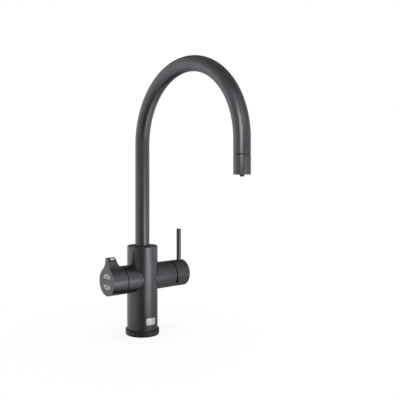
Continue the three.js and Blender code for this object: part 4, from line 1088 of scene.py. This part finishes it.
seam_seal = turned(rounded([
    (9.6, 277.2), (10.9, 277.2, 0.25), (10.9, 277.8, 0.25), (9.6, 277.8)]), 72)
hand_over("nozzle_seal", moved(seam_seal, y=NOZZLE_Y), rubber, "spout", "nozzle_o_ring")

HOLES, HOLE_RADIUS, HOLE_CIRCLE = 8, 1.5, 6.8
strainer = turned(rounded([(4.3, 253), (9.3, 253, 0.3), (9.3, 262), (4.3, 262)]), 72)
for hole in range(HOLES):
    angle = math.tau * (hole + 0.5) / HOLES
    drill = peg(HOLE_RADIUS, 250, 265, steps=20)
    moved(drill, x=HOLE_CIRCLE * math.cos(angle), y=HOLE_CIRCLE * math.sin(angle))
    strainer = combined(strainer, drill)
hand_over("strainer", moved(strainer, y=NOZZLE_Y), black_acetal, "spout", "flow_straightener")

jet = turned(rounded([
    (1.6, 249, 0.15), (2.4, 249, 0.25), (4, 253, 0.4), (4, 266), (3.3, 266), (3.3, 258),
    (1.6, 258)]), 48)
hand_over("jet", moved(jet, y=NOZZLE_Y), black_acetal, "spout", "jet_nozzle")

# %% [markdown]
# ## Below the worktop
#
# A threaded brass shank passes through the tap hole. A rubber washer, a steel washer and a
# hexagon nut clamp the tap from below, and four copper tails leave through a nylon guide. The
# thread is a single ridge, swept round and up in one long spin.

# %% Threaded shank
SHANK_BORE, THREAD_ROOT, SHANK_RADIUS = 13.5, 15.2, 16
SHANK_BOTTOM, THREAD_TOP, SHANK_TOP = -60, -1, 14.8
THREAD_START, THREAD_PITCH, THREAD_TURNS = -58.5, 1.5, 38

shank = turned(rounded([
    (SHANK_BORE, SHANK_BOTTOM, 0.2), (THREAD_ROOT, SHANK_BOTTOM, 0.5), (THREAD_ROOT, THREAD_TOP),
    (SHANK_RADIUS, THREAD_TOP), (SHANK_RADIUS, SHANK_TOP, 0.3), (SHANK_BORE, SHANK_TOP)]), 96)
# The ridge starts inside the shank's skin, so no gap opens along its foot.
ridge_outline = [(15.0, 0), (SHANK_RADIUS, 0.55), (SHANK_RADIUS, 0.8), (15.0, 1.35)]
ridge = coiled(ridge_outline, THREAD_PITCH, THREAD_TURNS, steps_a_turn=32)
moved(ridge, z=THREAD_START)
thread_mesh = bpy.data.meshes.new("thread")
ridge.to_mesh(thread_mesh)
ridge.free()
shank.from_mesh(thread_mesh)
bpy.data.meshes.remove(thread_mesh)
hand_over("shank_with_thread", shank, brass, "tap_body", "threaded_shank")

# %% Washers and nut
WASHER_RADIUS = 25
WORKTOP_UNDERSIDE, SOFT_BOTTOM, HARD_BOTTOM, NUT_BOTTOM = -30, -33, -35.5, -43.5
NUT_HALF_FLATS = 21      # half of the 42 mm across the nut's flats

soft_washer = turned(rounded([
    (CLAMP_BORE, SOFT_BOTTOM), (WASHER_RADIUS, SOFT_BOTTOM, 0.5),
    (WASHER_RADIUS, WORKTOP_UNDERSIDE, 0.5), (CLAMP_BORE, WORKTOP_UNDERSIDE)]), 96)
hand_over("rubber_washer_ring", soft_washer, rubber, "tap_body", "rubber_washer")

hard_washer = turned(rounded([
    (CLAMP_BORE, HARD_BOTTOM, 0.2), (WASHER_RADIUS, HARD_BOTTOM, 0.3),
    (WASHER_RADIUS, SOFT_BOTTOM, 0.3), (CLAMP_BORE, SOFT_BOTTOM)]), 96)
hand_over("clamp_washer_ring", hard_washer, steel, "tap_body", "clamp_washer")

hexagon = arc((0, 0), NUT_HALF_FLATS / math.cos(math.pi / 6), 0, 300, 5)
hexagon = moved(pushed(hexagon, HARD_BOTTOM - NUT_BOTTOM), z=NUT_BOTTOM)
turning = turned([
    (CLAMP_BORE, NUT_BOTTOM), (NUT_HALF_FLATS, NUT_BOTTOM), (24.3, -41.8), (24.3, -37.2),
    (NUT_HALF_FLATS, HARD_BOTTOM), (CLAMP_BORE, HARD_BOTTOM)], 96)
nut = combined(hexagon, turning, "INTERSECT")
hand_over("clamp_nut", nut, brass, "tap_body", "shank_nut")

# %% Tails and their guide
TAIL_CIRCLE = 7.2
TAIL_BOTTOM, TAIL_TOP = -80, 69.7
GUIDE_RADIUS, GUIDE_BOTTOM, GUIDE_TOP = 13.2, -60, -56
LEAD_HOLE = 1.6

guide = turned(rounded([
    (0, GUIDE_BOTTOM), (GUIDE_RADIUS, GUIDE_BOTTOM, 0.4), (GUIDE_RADIUS, GUIDE_TOP, 0.3),
    (0, GUIDE_TOP)]), 96)
# Each tail's radius, and its angle round the shank's axis in degrees.
tails = {
    "hot_tail": (5, -55), "cold_tail": (5, 55), "boiling_tail": (4, 145),
    "chilled_tail": (3.2, 215),
}
for name, (radius, angle) in tails.items():
    x = TAIL_CIRCLE * math.cos(math.radians(angle))
    y = TAIL_CIRCLE * math.sin(math.radians(angle))
    drill = peg(radius + FIT, GUIDE_BOTTOM - 2, GUIDE_TOP + 2)
    guide = combined(guide, moved(drill, x=x, y=y))
    pipe = turned(rounded([
        (radius - 1, TAIL_BOTTOM, 0.2), (radius, TAIL_BOTTOM, 0.4), (radius, TAIL_BOTTOM + 10),
        (radius, TAIL_TOP), (radius - 1, TAIL_TOP)]), 40)
    hand_over(f"{name}_pipe", moved(pipe, x=x, y=y), copper, "tap_body", name)
guide = combined(guide, peg(LEAD_HOLE, GUIDE_BOTTOM - 2, GUIDE_TOP + 2, steps=24))
hand_over("pipe_guide", guide, nylon, "tap_body", "tail_guide")

# %% [markdown]
# ## The parts inside
#
# The waterways, bearings, seals, switches and ceramic discs keep their CAD solids, because their
# shapes are already right and the tap hides them. Each one still gets the finish of what it is
# made of.

# %% Finishes for the carried-over solids
inside = {
    brass: ("column_foot", "manifold_core", "spout_socket"),
    brass_across: ("cartridge_nut",),
    steel: ("spout_retaining_ring", "dial_spindle", "spindle_clip", "stem_pin", "cartridge_stem"),
    nylon: ("spout_bush_lower", "spout_bush_upper", "boiling_tube", "cartridge_base",
            "cartridge_housing", "disc_coupler", "upper_switch", "lower_switch"),
    rubber: ("spout_o_ring_lower", "spout_o_ring_upper"),
    black_acetal: ("dial_bearing", "dial_hub", "magnet_holder", "cartridge_rotor"),
    alumina: ("fixed_ceramic_disc", "moving_ceramic_disc"),
    board: ("sensor_board", "switch_board"),
}
for finish, names in inside.items():
    for name in names:
        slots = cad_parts[name].data.materials
        slots.clear()
        slots.append(finish)
solids_kept = sum(len(names) for names in inside.values())
print("solids kept:", solids_kept, "pieces made:", len(made_pieces))
